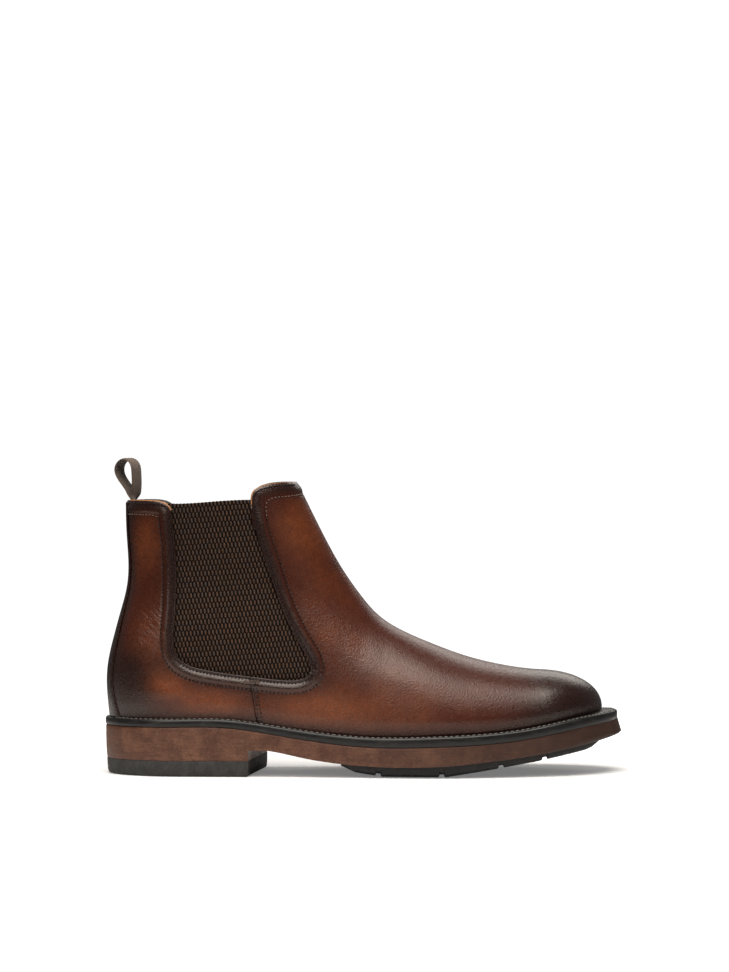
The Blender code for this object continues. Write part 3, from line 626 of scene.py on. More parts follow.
class Finish:
    """A node material under construction."""

    def __init__(self, name, roughness=0.5, **inputs):
        self.material = bpy.data.materials.new(name)
        self.material.use_nodes = True
        self.tree = self.material.node_tree
        self.shader = self.tree.nodes["Principled BSDF"]
        self.place = self.add("ShaderNodeTexCoord").outputs["Object"]
        self.set(Roughness=roughness, Specular_IOR_Level=0.4)
        self.set(**inputs)

    def add(self, kind, values=None, **settings):
        node = self.tree.nodes.new(kind)
        for key, value in settings.items():
            setattr(node, key, value)
        for key, value in (values or {}).items():
            self.feed(node.inputs[key], value)
        return node

    def feed(self, socket, value):
        if isinstance(value, bpy.types.NodeSocket):
            self.tree.links.new(value, socket)
        elif isinstance(value, tuple) and len(value) == 3 and socket.type == "RGBA":
            socket.default_value = (*value, 1)
        else:
            socket.default_value = value

    def set(self, **inputs):
        for key, value in inputs.items():
            self.feed(self.shader.inputs[key.replace("_", " ")], value)

    def math(self, operation, a, b=0.0, c=0.0, clamp=False):
        node = self.add("ShaderNodeMath", {0: a, 1: b, 2: c}, operation=operation, use_clamp=clamp)
        return node.outputs[0]

    def ramp(self, value, low, high, start=0.0, end=1.0):
        node = self.add("ShaderNodeMapRange", {
            "Value": value, "From Min": low, "From Max": high, "To Min": start, "To Max": end,
        }, interpolation_type="SMOOTHSTEP")
        return node.outputs["Result"]

    def mix(self, share, a, b):
        node = self.add("ShaderNodeMix", data_type="RGBA")
        self.feed(node.inputs["Factor"], share)
        self.feed(node.inputs[6], a)
        self.feed(node.inputs[7], b)
        return node.outputs[2]

    def spread(self, field, low, high, a, b, start=0.0, end=1.0):
        """Mixes b into a as the field rises from low to high."""
        return self.mix(self.ramp(field, low, high, start, end), a, b)

    def gloss(self, field, low, high):
        """Roughness that wanders between low and high."""
        self.set(Roughness=self.ramp(field, 0.3, 0.7, low, high))

    def stretched(self, scale):
        return self.add("ShaderNodeMapping", {"Vector": self.place, "Scale": scale}).outputs[0]

    def noise(self, size, detail=3.0, roughness=0.55, place=None, distortion=0.0):
        """Noise whose blotches are about size millimetres wide."""
        node = self.add("ShaderNodeTexNoise", {
            "Vector": place or self.place, "Scale": 1000 / size, "Detail": detail,
            "Roughness": roughness, "Distortion": distortion,
        })
        return node.outputs["Fac"]

    def cells(self, size, feature="F1"):
        cells = {"Vector": self.place, "Scale": 1000 / size}
        return self.add("ShaderNodeTexVoronoi", cells, feature=feature).outputs["Distance"]

    def bump(self, height, depth, strength=1.0, under=None):
        """Bump of the given depth in millimetres."""
        node = self.add("ShaderNodeBump", {"Height": height, "Distance": depth * MM, "Strength": strength})
        if under is not None:
            self.feed(node.inputs["Normal"], under)
        self.feed(self.shader.inputs["Normal"], node.outputs[0])
        return node.outputs[0]

    def named(self, name):
        return self.add("ShaderNodeAttribute", attribute_name=name).outputs["Fac"]


def shade(colour, share):
    return tuple(share * channel for channel in colour)


def leather_finish(name, light, deep, dark):
    """Burnished calf leather: cognac that turns dark where the piece's burnish mark says so."""
    finish = Finish(name, Specular_IOR_Level=0.46, Specular_Tint=(1.0, 0.89, 0.83))
    uneven = finish.math("SUBTRACT", finish.noise(38, 5, 0.6), 0.5)
    # Lighter where the light-tone mark is high; that mark also carries one painted highlight.
    glow = finish.math("MULTIPLY_ADD", uneven, 1.1, finish.named("light_tone_and_highlight"))
    base = finish.spread(glow, 0.0, 1.0, deep, light)
    base = finish.spread(finish.noise(4, 4, 0.6), 0.35, 0.7, base, shade(deep, 0.6), 0.0, 0.22)
    share = finish.ramp(finish.math("MULTIPLY_ADD", uneven, 0.45, finish.named("burnish")), 0.05, 1.0)
    base = finish.mix(share, base, dark)
    pores = finish.cells(0.8, "SMOOTH_F1")
    base = finish.spread(pores, 0.0, 0.4, base, shade(dark, 0.4), 0.3, 0.0)
    finish.set(Base_Color=base, Coat_Weight=finish.math("MULTIPLY", share, 0.2), Coat_Roughness=0.2)
    finish.gloss(finish.noise(2.5, 3), 0.25, 0.34)
    slanted = finish.add("ShaderNodeMapping", {
        "Vector": finish.place, "Rotation": (0, math.radians(38), 0), "Scale": (4.0, 2.0, 1.0),
    }, vector_type="TEXTURE").outputs[0]
    crease = finish.math("MULTIPLY", finish.noise(2.0, 3, 0.6, slanted, 0.4), finish.named("crease"))
    under = finish.bump(crease, 1.2, 0.9)
    under = finish.bump(finish.noise(3.0, 2), 0.07, 0.5, under)
    finish.bump(finish.math("MULTIPLY_ADD", finish.noise(0.7, 3, 0.6), 0.5, pores), 0.21, 0.8, under)
    return finish.material


def elastic_finish():
    """Woven elastic: brown floats over black, drawn where the gore's mesh raises them."""
    finish = Finish("gore_elastic", 0.85, Specular_IOR_Level=0.1)
    split = finish.add("ShaderNodeSeparateXYZ", {"Vector": finish.place})
    x, z = (finish.math("MULTIPLY", split.outputs[axis], 1 / MM) for axis in "XZ")
    along = finish.math("MULTIPLY", finish.math("MULTIPLY_ADD", x, -WEAVE_SLANT, z), 1 / WEAVE_RISE)
    row = finish.math("FLOOR", along)
    along = finish.math("MULTIPLY_ADD", finish.math("FRACT", along), 2.0, -1.0)
    across = finish.math("MULTIPLY_ADD", x, 1 / WEAVE_PITCH, finish.math("MULTIPLY", row, WEAVE_SHIFT))
    across = finish.math("MULTIPLY_ADD", along, WEAVE_LEAN, across)
    across = finish.math("MULTIPLY_ADD", finish.math("FRACT", across), 2.0, -1.0)
    hollow = finish.math("POWER", finish.math("MULTIPLY", across, 1 / WEAVE_FILL), 2.0)
    hollow = finish.math("ADD", hollow, finish.math("POWER", finish.math("ABSOLUTE", along), 6.0))
    raised = finish.math("MULTIPLY_ADD", hollow, -1.5, 1.5, clamp=True)
    thread = finish.noise(0.35, 2, 0.6, finish.stretched((1.0, 1.0, 0.25)))
    brown = finish.spread(thread, 0.3, 0.7, (0.036, 0.019, 0.012), (0.12, 0.066, 0.041))
    brown = finish.spread(finish.noise(2.4, 2), 0.35, 0.7, brown, (0.06, 0.044, 0.037))
    finish.set(Base_Color=finish.spread(raised, 0.1, 0.75, (0.004, 0.002, 0.0012), brown))
    finish.bump(finish.math("ADD", finish.math("MULTIPLY", thread, 0.3), raised), 0.3, 0.6)
    return finish.material


def cloth_finish(name, light, dark, size=0.8):
    """Plain woven textile."""
    finish = Finish(name, 0.9, Sheen_Weight=0.25)
    bands = {"Vector": finish.place, "Scale": 1000 / size / 6.3, "Distortion": 0.6}
    warp, weft = (
        finish.add("ShaderNodeTexWave", bands, wave_type="BANDS", bands_direction=axis).outputs["Fac"]
        for axis in "XZ"
    )
    weave = finish.math("MULTIPLY", warp, weft)
    fuzz = finish.noise(1.5, 4)
    base = finish.mix(finish.math("MULTIPLY", weave, 0.8), dark, light)
    finish.set(Base_Color=finish.spread(fuzz, 0.3, 0.75, base, shade(dark, 0.7), 0.0, 0.35))
    finish.bump(finish.math("MULTIPLY_ADD", fuzz, 0.5, weave), 0.16, 0.6)
    return finish.material


def webbing_finish():
    """Twill tape of the pull tab; the ribs are in its mesh, and painted shade darkens the valleys between
    them.
    """
    finish = Finish("tab_webbing", 0.85, Sheen_Weight=0.3)
    rib = finish.named("rib")
    fuzz = finish.noise(0.5, 3)
    # Painted shade: darker in the rib valleys, lighter on the crests.
    base = finish.spread(rib, 0.15, 0.8, (0.028, 0.017, 0.011), (0.15, 0.092, 0.058))
    finish.set(Base_Color=finish.spread(fuzz, 0.35, 0.7, base, (0.05, 0.035, 0.025), 0.0, 0.35))
    finish.bump(finish.math("MULTIPLY_ADD", fuzz, 0.6, rib), 0.16, 0.6)
    return finish.material


def welt_finish():
    """Black waxed welt with a little wear on its edges."""
    finish = Finish("welt_wax", Specular_IOR_Level=0.3, Coat_Weight=0.15, Coat_Roughness=0.15)
    scuff = finish.noise(4, 5, 0.65, finish.stretched((0.35, 0.6, 1.6)))
    finish.set(Base_Color=finish.spread(scuff, 0.52, 0.8, (0.008, 0.007, 0.0065), (0.03, 0.026, 0.023)))
    finish.gloss(scuff, 0.26, 0.5)
    finish.bump(finish.noise(1.1, 4), 0.12, 0.5)
    return finish.material


def sole_finish():
    """Stained brown sole edge: fine lengthwise grain, specks and flecks, darker at the toe."""
    finish = Finish("sole_edge", Specular_IOR_Level=0.28)
    grain = finish.noise(1.6, 5, 0.65, finish.stretched((0.12, 0.12, 1.5)), 0.3)
    blotch = finish.noise(14, 5, 0.6)
    speck = finish.noise(0.7, 4, 0.7)
    fleck = finish.noise(0.9, 3, 0.7, finish.stretched((0.5, 0.5, 1.2)))
    along = finish.add("ShaderNodeSeparateXYZ", {"Vector": finish.place}).outputs["X"]
    base = finish.spread(blotch, 0.3, 0.72, (0.085, 0.032, 0.018), (0.18, 0.08, 0.046))
    base = finish.spread(finish.noise(4, 5, 0.7), 0.45, 0.7, base, (0.05, 0.02, 0.012), 0.0, 0.55)
    base = finish.spread(grain, 0.4, 0.75, base, (0.055, 0.022, 0.014), 0.0, 0.6)
    base = finish.spread(speck, 0.57, 0.72, base, (0.36, 0.22, 0.15), 0.0, 0.6)
    base = finish.spread(fleck, 0.3, 0.45, base, (0.04, 0.016, 0.01), 0.6, 0.0)
    base = finish.spread(along, 0.05, 0.27, base, (0.026, 0.013, 0.009), 0.0, 0.85)
    finish.set(Base_Color=base)
    finish.gloss(blotch, 0.42, 0.6)
    finish.bump(speck, 0.1, 0.4, finish.bump(grain, 0.18, 0.5))
    return finish.material


def rubber_finish(name="rubber", tone=0.024):
    finish = Finish(name)
    speck = finish.noise(0.6, 3)
    fresh, worn = shade((1, 0.93, 0.87), tone), shade((1.9, 1.8, 1.7), tone)
    finish.set(Base_Color=finish.spread(finish.noise(5, 5, 0.65), 0.35, 0.75, fresh, worn))
    finish.gloss(speck, 0.62, 0.82)
    finish.bump(speck, 0.12, 0.5)
    return finish.material


def thread_finish(name, colour, roughness=0.55):
    finish = Finish(name, roughness)
    ply = finish.noise(0.35, 2, 0.5, finish.stretched((1.5, 1.5, 0.7)))
    finish.set(Base_Color=finish.spread(ply, 0.3, 0.7, shade(colour, 0.5), colour))
    finish.bump(ply, 0.1, 0.6)
    return finish.material


def cut_edge_finish():
    """Raw tan edge of the leather and its facing."""
    finish = Finish("tan_edge", 0.6)
    fibre = finish.noise(0.7, 4, 0.7)
    base = finish.spread(fibre, 0.3, 0.7, (0.3, 0.125, 0.05), (0.5, 0.25, 0.11))
    finish.set(Base_Color=finish.spread(finish.noise(6, 3), 0.5, 0.75, base, (0.16, 0.06, 0.03), 0.0, 0.6))
    finish.bump(fibre, 0.12, 0.6)
    return finish.material


def board_finish(name, light, dark, size):
    """Pressed fibre board, cork or moulded sheet hidden inside the boot."""
    finish = Finish(name, 0.85)
    fibre = finish.noise(size / 2, 4, 0.65)
    base = finish.spread(finish.cells(size), 0.1, 0.6, dark, light)
    finish.set(Base_Color=finish.spread(fibre, 0.4, 0.7, base, shade(dark, 0.6), 0.0, 0.4))
    finish.bump(fibre, 0.2, 0.5)
    return finish.material


def steel_finish():
    finish = Finish("bare_steel", Metallic=1.0)
    brush = finish.noise(1.2, 4, 0.6, finish.stretched((0.1, 1.0, 1.0)))
    finish.set(Base_Color=finish.spread(brush, 0.3, 0.7, (0.36, 0.36, 0.37), (0.58, 0.58, 0.6)))
    finish.gloss(brush, 0.28, 0.45)
    return finish.material


COGNAC = leather_finish(
    "cognac_leather", light=(0.185, 0.048, 0.014), deep=(0.053, 0.0105, 0.004), dark=(0.014, 0.004, 0.0026)
)
ELASTIC = elastic_finish()
LINING = cloth_finish("lining_cloth", (0.11, 0.1, 0.088), (0.045, 0.04, 0.035))
FOOTBED = cloth_finish("footbed_cloth", (0.16, 0.12, 0.085), (0.07, 0.05, 0.036), 1.1)
WEBBING = webbing_finish()
WELT = welt_finish()
SOLE = sole_finish()
RUBBER = rubber_finish()
TREAD = rubber_finish("tread_rubber", 0.01)
DARK_THREAD = thread_finish("dark_thread", (0.012, 0.007, 0.006))
PALE_THREAD = thread_finish("brown_thread", (0.15, 0.1, 0.075))
WELT_THREAD = thread_finish("welt_thread", (0.17, 0.16, 0.145), 0.35)
TAN_EDGE = cut_edge_finish()
STIFFENER = board_finish("stiffener_sheet", (0.5, 0.4, 0.27), (0.36, 0.26, 0.16), 1.5)
BOARD = board_finish("fibre_board", (0.42, 0.27, 0.14), (0.28, 0.16, 0.08), 1.2)
CORK = board_finish("cork", (0.4, 0.24, 0.12), (0.16, 0.08, 0.035), 2.4)
STEEL = steel_finish()


# --- stitches --------------------------------------------------------------------------------

def stitch_row(name, line, normals, material, pitch=STITCH, radius=THREAD, gap=0.42, sink=0.1):
    """A row of thread stitches lying on a surface line, each a bead that dips at its ends."""
    at = lengths(line)
    count = max(1, int(at[-1] / pitch))
    share = np.linspace(-1, 1, STITCH_RINGS)
    rise = (1 - share ** 4) * (radius * 0.75 + sink) - sink
    thick = radius * (0.35 + 0.65 * np.sqrt(1 - share ** 2 * 0.92))
    turns = np.arange(STITCH_SIDES)[:, None] / STITCH_SIDES * 2 * math.pi
    ends = np.array([[0, 1, 2, 3], [0, 3, 4, 5]])
    parts = []
    for k in range(count):
        start = (k + gap / 2) * at[-1] / count
        end = (k + 1 - gap / 2) * at[-1] / count
        steps = np.linspace(start, end, STITCH_RINGS)
        middle = interpolate(steps, at, line)
        up = interpolate(steps, at, normals)
        up /= np.linalg.norm(up, axis=1, keepdims=True)
        aside = np.cross(up, directions(middle))
        middle = middle + up * rise[:, None]
        around = np.cos(turns) * aside[:, None] * 1.1 + np.sin(turns) * up[:, None]
        verts, quads = grid_arrays(middle[:, None] + thick[:, None, None] * around, closed_columns=True)
        parts.append((verts, np.vstack([quads, ends[:, ::-1], ends + len(verts) - STITCH_SIDES])))
    return new_object(name, *join_arrays(parts), material)


def surface_row(name, side, line, lift, material, **settings):
    """Stitches along a side-view line laid on the skin at the given height above it."""
    points, normal = skin_and_normal(side, *line.T)
    rides(stitch_row(name, points + np.reshape(lift, (-1, 1)) * normal, normal, material, **settings))


# --- the upper -------------------------------------------------------------------------------

def stands_for(piece, *nodes, slot):
    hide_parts(*nodes)
    rides(piece, slot)


def rides(piece, slot=None):
    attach(piece, "boot")


def on_both_sides(grids, laid):
    """Every grid laid on the lateral side and then on the medial side."""
    return [laid(side, grid) for side in SIDES.values() for grid in grids]


def add_leather():
    def front(side, grid):
        return leather_points(side, grid, True)

    grids = vamp_grids(VAMP_STEPS, TUCKED_IN)
    vamp = sheet("vamp_leather", on_both_sides(grids, front), COGNAC, LEATHER)
    burnish(vamp)
    stands_for(vamp, "vamp", slot="leather")
    grid = quarter_grid(*QUARTER_STEPS, TUCKED_IN)
    for word, side in SIDES.items():
        quarter = sheet(f"quarter_leather_{word}", [leather_points(side, grid, False)], COGNAC, LEATHER)
        burnish(quarter)
        stands_for(quarter, f"quarter_{word}", slot="leather")


def float_height(x, z):
    """The elastic's floats: 1 in the middle of one, 0 between them; neighbouring rows are staggered."""
    along = (z - WEAVE_SLANT * x) / WEAVE_RISE
    row = np.floor(along)
    along = (along - row - 0.5) * 2
    across = x / WEAVE_PITCH + WEAVE_SHIFT * row + WEAVE_LEAN * along
    across = (across - np.floor(across) - 0.5) * 2
    return np.clip(1.5 * (1 - (across / WEAVE_FILL) ** 2 - along ** 6), 0, 1)


def add_gores():
    """Woven elastic: its columns and floats stand out of the cloth in the mesh."""
    front = GORE_LINE[CORNER_AT:]
    front = front[np.argsort(front[:, 1])]
    heights = np.linspace(GORE_FOOT_Z, GORE_TOP_Z + 0.5, 240)
    left = smooth(GORE_REAR_EDGE)(heights)
    right = np.interp(heights, front[:, 1], front[:, 0]) + 3.0
    x = left[:, None] + (right - left)[:, None] * even(190)
    top = GORE_TOP_Z + 2.6 * ease((x + 4) / 50)
    for word, side in SIDES.items():
        collar = top - (MEDIAL_GORE_DROP if side == MEDIAL else 0)
        z = GORE_FOOT_Z + (collar - GORE_FOOT_Z) * even(239)[:, None]
        hem = ease(1 - (collar - z) / 1.2)
        edge = distance_to(GORE_LINE[::4], x, z)
        sag = 1.7 + 0.5 * ease(1 - edge / 5) + 0.12 * np.sin(x / 7.0) * np.sin(z / 9.0)
        depth = sag - 0.42 * float_height(x, z) * (1 - hem) - 0.25 * hem
        piece = sheet(f"gore_elastic_{word}", [skin(side, x, z, depth)], ELASTIC, ELASTIC_THICK)
        stands_for(piece, f"gore_{word}", slot="elastic")


def add_linings():
    """Textile lining, close to the leather at the collar and on the stiffeners lower down."""
    def lining_points(side, grid):
        x, z = grid[..., 0], grid[..., 1]
        collar = np.minimum(distance_to(BACK_TOP, x, z), distance_to(FRONT_TOP, x, z))
        return skin(side, x, z, 2.5 + 2.0 * ease((collar - 2) / 14))

    linings = {
        ("lining_front", "lining_vamp"): vamp_grids(LINING_STEPS, 0.0, BELOW_COLLAR),
        ("lining_rear", "lining_quarter"): [quarter_grid(*QUARTER_LINING_STEPS, 0.0, BELOW_COLLAR)],
    }
    for (name, node), grids in linings.items():
        piece = sheet(name, on_both_sides(grids, lining_points), LINING, LINING_THICK)
        stands_for(piece, node, slot="lining")


def add_facings():
    """Tan facing leather whose raw edge shows just above the collar's edges."""
    front_edge = np.vstack([FRONT_TOP, GORE_LINE[-2:-20:-1]])
    for word, side in SIDES.items():
        shown = 0.4 if side == LATERAL else -0.5
        for place, edge in (("front", front_edge), ("rear", BACK_TOP)):
            line = resample(edge, even(90))
            drop = np.linspace(-shown, 7.0, 9)
            grid = np.stack([offset_line(line, -step) for step in drop], axis=1)
            x, z = grid[..., 0], grid[..., 1]
            piece = sheet(f"facing_{place}_{word}", [skin(side, x, z, 1.35)], TAN_EDGE, FACING_THICK)
            rides(piece, slot="leather")


def add_backstay():
    heights = np.linspace(feather(SOLE_HEEL) - 0.6, COLLAR_BACK_Z - 0.4, 120)
    half = smooth([(30, 20.5), (40, 17.5), (50, 15.2), (75, 12.8), (100, 9), (130, 7), (165, 6.5)])(heights)
    across = even(18)
    x = np.stack([place_at_width(z, width * across) for z, width in zip(heights, half)])
    z = np.repeat(heights[:, None], len(across), axis=1)
    rim = (1 - across) * half[:, None]
    lift = 0.95 - edge_drop(rim) - groove(rim, BACKSTAY_ROW, 0.4, 0.2)
    lift = lift - 1.1 * ease(1 - (COLLAR_BACK_Z - z) / 1.6)
    grids = []
    for side in SIDES.values():
        points = skin(side, x, z, -lift)
        points[:, 0, 1] = 0
        grids.append(points)
    strap = sheet("backstay_leather", grids, COGNAC, BACKSTAY_THICK)
    attribute(strap, "burnish", np.full(len(strap.data.vertices), 0.95))
    attribute(strap, "light_tone_and_highlight", np.zeros(len(strap.data.vertices)))
    stands_for(strap, "backstay", slot="burnished_leather")
    row = np.stack([place_at_width(heights, half - BACKSTAY_ROW), heights], axis=1)[3:-3]
    for word, side in SIDES.items():
        surface_row(f"backstay_stitches_{word}", side, row, 0.72, DARK_THREAD, **BACKSTAY_STITCH)


def upper_rows():
    """Rows of stitches on either side of the upper: name, side-view line, thread and stitch size."""
    outer = offset_line(GORE_LINE, BAND)
    outer = outer[((outer[:, 1] < 153.5) | (outer[:, 0] > 60)) & (outer[:, 1] < 161.5)]
    back_row = [(place_at_width(154.4, 7.5), 154.4), (-18, 154.4), (-13.4, 154.0), outer[0]]
    front_row = [outer[-1], (54.0, 162.6), (63, 164.9), (74.3, ridge(74.3) - 1.2)]
    yield "stitches_band", resample(outer, even(240)), DARK_THREAD, {}
    yield "stitches_back_top", resample(path(back_row, even(60)), even(240)), PALE_THREAD, {}
    yield "stitches_front_top", resample(path(front_row, even(60)), even(240)), PALE_THREAD, {}
    inner = offset_line(GORE_LINE, INNER_ROW)[4:-4]
    yield "stitches_gore_edge", resample(inner, even(300)), DARK_THREAD, FINE_STITCH
    for place, edge in (("back", BACK_TOP[6:-8]), ("front", FRONT_TOP[2:-6])):
        row = resample(edge, even(80)) - [0, COLLAR_ROW]
        yield f"stitches_collar_{place}", row, DARK_THREAD, FINE_STITCH
    for number, shift in enumerate(SEAM_ROWS, 1):
        seam = resample(SEAM_LINE + [shift, 0], even(40))
        yield f"stitches_seam_{number}", seam[seam[:, 1] < seam[0, 1] - 2.0], DARK_THREAD, SEAM_STITCH
    for number in range(3):
        height = SEAM_LINE[0, 1] - 4.0 + 0.75 * number
        tack = np.array([(SEAM_TOP_X - 3.5, height), (SEAM_TOP_X + 6, height)])
        yield f"bartack_{number + 1}", resample(tack, even(20)), PALE_THREAD, TACK_STITCH


def add_upper_stitches():
    for name, line, thread, size in upper_rows():
        for word, side in SIDES.items():
            lift = np.maximum(leather_lift(side, *line.T, True), 0) + STITCH_LIFT
            surface_row(f"{name}_{word}", side, line, lift, thread, **size)


# --- the sole --------------------------------------------------------------------------------

def sole_edge(side, t, inset=0.0, toe_inset=None):
    """Plan points of the sole's edge, t from the heel (0) to the toe (1), moved in by inset."""
    toe_inset = inset if toe_inset is None else toe_inset
    heel = SOLE_HEEL + inset
    toe = SOLE_TOE - toe_inset
    x = heel + (toe - heel) * t
    rounding = 1 - fall(x - heel, HEEL_ROUND - 6) - fall(toe - x, TOE_ROUND + 8)
    width = foot_width[side](x) + sole_margin(x) - inset
    return np.stack([x, centre_line(x) + side * width * np.clip(rounding, 0, 1) ** (1 / FULLNESS)], axis=1)


def plan_loop(count, inset=0.0, toe_inset=None):
    """The whole outline in plan: up the lateral side to the toe and back down the medial side."""
    lateral, medial = (sole_edge(side, crowded_ends(count), inset, toe_inset) for side in SIDES.values())
    return np.vstack([lateral, medial[::-1][1:-1]])


def ring_sweep(name, rows, material):
    """A closed band from rows of (plan loop, heights) that go once round its section."""
    points = np.stack([np.column_stack(row) for row in rows])
    verts, quads = grid_arrays(points, closed_rows=True, closed_columns=True)
    return new_object(name, verts, quads, material, SHARP)


def layer_from_loops(name, rows, material, sharp=SHARP):
    """A solid layer: rows of (plan loop, heights) from its lower edge up, filled across by strips."""
    points = np.stack([np.column_stack(row) for row in rows])
    verts, quads = grid_arrays(points, closed_columns=True)
    faces = quads.tolist()
    count = points.shape[1]
    for start in (0, len(verts) - count):
        for k in range(count // 2):
            strip = (k, k + 1, (count - k - 1) % count, (count - k) % count)
            faces.append([start + corner for corner in dict.fromkeys(strip)])
    return new_object(name, verts, faces, material, sharp)


def capped_tube(name, rings, material, sharp):
    """A solid through rings of points, with a face across each end."""
    verts, quads = grid_arrays(rings, closed_columns=True)
    count = rings.shape[1]
    faces = quads.tolist() + [list(range(count)), list(range(len(verts) - count, len(verts)))]
    return new_object(name, verts, faces, material, sharp)


def add_welt():
    outer = plan_loop(PLAN_STEPS, -0.1, 1.2)
    top = welt_top(outer[:, 0])
    under = top - welt_thickness(outer[:, 0])

    def at(inset, height):
        return plan_loop(PLAN_STEPS, inset - 0.1, 1.2 + inset), height

    profile = [
        at(0.15, under), at(0.0, under + 0.5), at(0.0, top - 1.3), at(0.22, top - 0.6),
        at(0.7, top - 0.12), at(1.2, top + 0.05), at(2.0, top - 0.12), at(2.45, top - 0.32),
        at(2.9, top - 0.12), at(4.0, top + 0.1), at(13.0, top), at(13.0, under),
    ]
    welt = ring_sweep("welt_strip", profile, WELT)
    stands_for(welt, "welt", slot="welt")
    line, height = at(2.45, top - 0.32)
    row = np.column_stack([line, height + 0.1])
    row = row[row[:, 0] > SOLE_HEEL + 6]
    on_lateral = row[:, 1] < centre_line(row[:, 0])
    for word, part in (("lateral", row[on_lateral]), ("medial", row[~on_lateral][::-1])):
        up = np.tile([0.0, 0.0, 1.0], (len(part), 1))
        rides(stitch_row(f"welt_stitches_{word}", part, up, WELT_THREAD, **WELT_STITCH))


def sole_bottom(x):
    """Underside of the brown sole, flat over the heel."""
    return np.where(x < HEEL_END_X, HEEL_TOP, sole_bottom_curve(np.maximum(x, HEEL_END_X)))


def add_midsole():
    """Brown sole: it leans out towards its lower edge at the toe, and meets the heel flush."""
    x = plan_loop(PLAN_STEPS)[:, 0]
    top = welt_top(x) - welt_thickness(x)
    low = sole_bottom(x)
    forward = ease((x - 46) / 16)[:, None]
    edge = [(0.0, 0.7), (0.02, 0.3), (0.06, 0.05), (0.12, 0.0), (0.3, 0.0), (0.5, 0.1), (0.7, 0.15),
            (0.86, 0.1), (0.93, 0.25), (0.97, 0.6), (1.0, 1.2)]
    rows = []
    for share, inset in edge:
        round_off = 1.4 * ease(1 - share / 0.12)
        loop = plan_loop(PLAN_STEPS, inset, TOE_LEAN * share + round_off - TOE_REACH)
        if share < 0.5:
            over_heel = plan_loop(PLAN_STEPS, HEEL_TAPER * (1 - share))
            loop = loop * forward + over_heel * (1 - forward)
        rows.append((loop, low + (top - low) * share))
    stands_for(layer_from_loops("sole_body", rows, SOLE), "midsole", slot="sole")


def heel_loop(inset):
    """Heel outline in plan, cut off by the slanted breast."""
    edges = []
    for side in SIDES.values():
        length = (BREAST[side] - inset * 0.5 - SOLE_HEEL - inset) / (SOLE_TOE - SOLE_HEEL - 2 * inset)
        edges.append(sole_edge(side, crowded_start(HEEL_STEPS) * length, inset))
    lateral, medial = edges
    return np.vstack([lateral, medial[::-1][:-1]])


def add_heel():
    bottom = HEEL_LIFT_BOTTOM
    layers = [
        ("heel_block", "heel_lift", "sole", SOLE,
         [(bottom, 1.1), (bottom + 0.25, 0.85), (bottom + 0.8, 0.75), (12.4, 0.5), (HEEL_TOP, HEEL_TAPER)]),
        ("heel_rubber", "heel_top_piece", "rubber", RUBBER,
         [(0.0, 2.8), (0.25, 2.1), (0.8, 1.6), (1.8, 1.3), (5.0, 1.0), (8.6, 0.8), (bottom - 0.05, 1.0)]),
    ]
    for name, node, slot, material, levels in layers:
        loops = [(heel_loop(inset), height) for height, inset in levels]
        rows = [(loop, np.full(len(loop), height)) for loop, height in loops]
        stands_for(layer_from_loops(name, rows, material, 40), node, slot=slot)


def add_tread():
    """Rubber forepart with cross grooves, its edges rising from the ground."""
    inset = 3.2
    stations = set(np.round(np.linspace(TREAD_START + 0.4, TREAD_END, 120), 2))
    for place in TREAD_GROOVES:
        stations |= {place + sign * step for sign in (-1, 1) for step in (1.0, 1.3, 1.7, 2.0)}
    x = np.array(sorted(stations))
    share = (x - SOLE_HEEL - inset) / (SOLE_TOE - SOLE_HEEL - 2 * inset)
    lateral, medial = (sole_edge(side, share, inset)[:, 1] for side in SIDES.values())
    top = sole_bottom(x) + 0.3
    low = np.minimum(np.interp(x, *np.array(TREAD_BOTTOM).T), sole_bottom(x) - 0.6)
    cut = sum(ease((GROOVE_HALF_WIDTH - np.abs(x - place)) / 0.8) for place in TREAD_GROOVES) * GROOVE_DEPTH
    low = low + np.maximum(np.minimum(cut, sole_bottom(x) - low - 0.6), 0)
    edge = [(0.0, top)]
    for inward, rise in ((0.0, 2.4), (0.35, 1.9), (1.3, 1.35), (4.0, 0.5), (8.0, 0.0)):
        edge.append((inward, np.minimum(low + rise, top - 0.2)))
    rows = [(lateral + inward, height) for inward, height in edge]
    rows += [(medial - inward, height) for inward, height in reversed(edge)]
    rings = np.stack([np.column_stack([x, y, z]) for y, z in rows], axis=1)
    stands_for(capped_tube("tread_rubber_plate", rings, TREAD, 40), "forepart_tread", slot="rubber")


def add_footbed():
    """Padded sock liner, cupped a little at its edge."""
    x_heel = back_line(feather(SOLE_HEEL)) + 0.3
    x = x_heel + (TOE_TIP - 0.3 - x_heel) * crowded_ends(90)
    lateral, medial = (skin(side, x, feather(x) + 1.0, 5.6)[:, None] for side in SIDES.values())
    across = even(24)[None, :, None]
    grid = lateral * (1 - across) + medial * across
    grid[..., 2] = feather(grid[..., 0]) + 4.2 + 0.8 * (2 * across[..., 0] - 1) ** 6
    piece = sheet("footbed", [grid], FOOTBED, 0)
    if piece.data.polygons[0].normal.z < 0:
        piece.data.flip_normals()
    thicken(piece, FOOTBED_THICK)
    stands_for(piece, "sock_liner", slot="lining")


# --- the pull tab ----------------------------------------------------------------------------

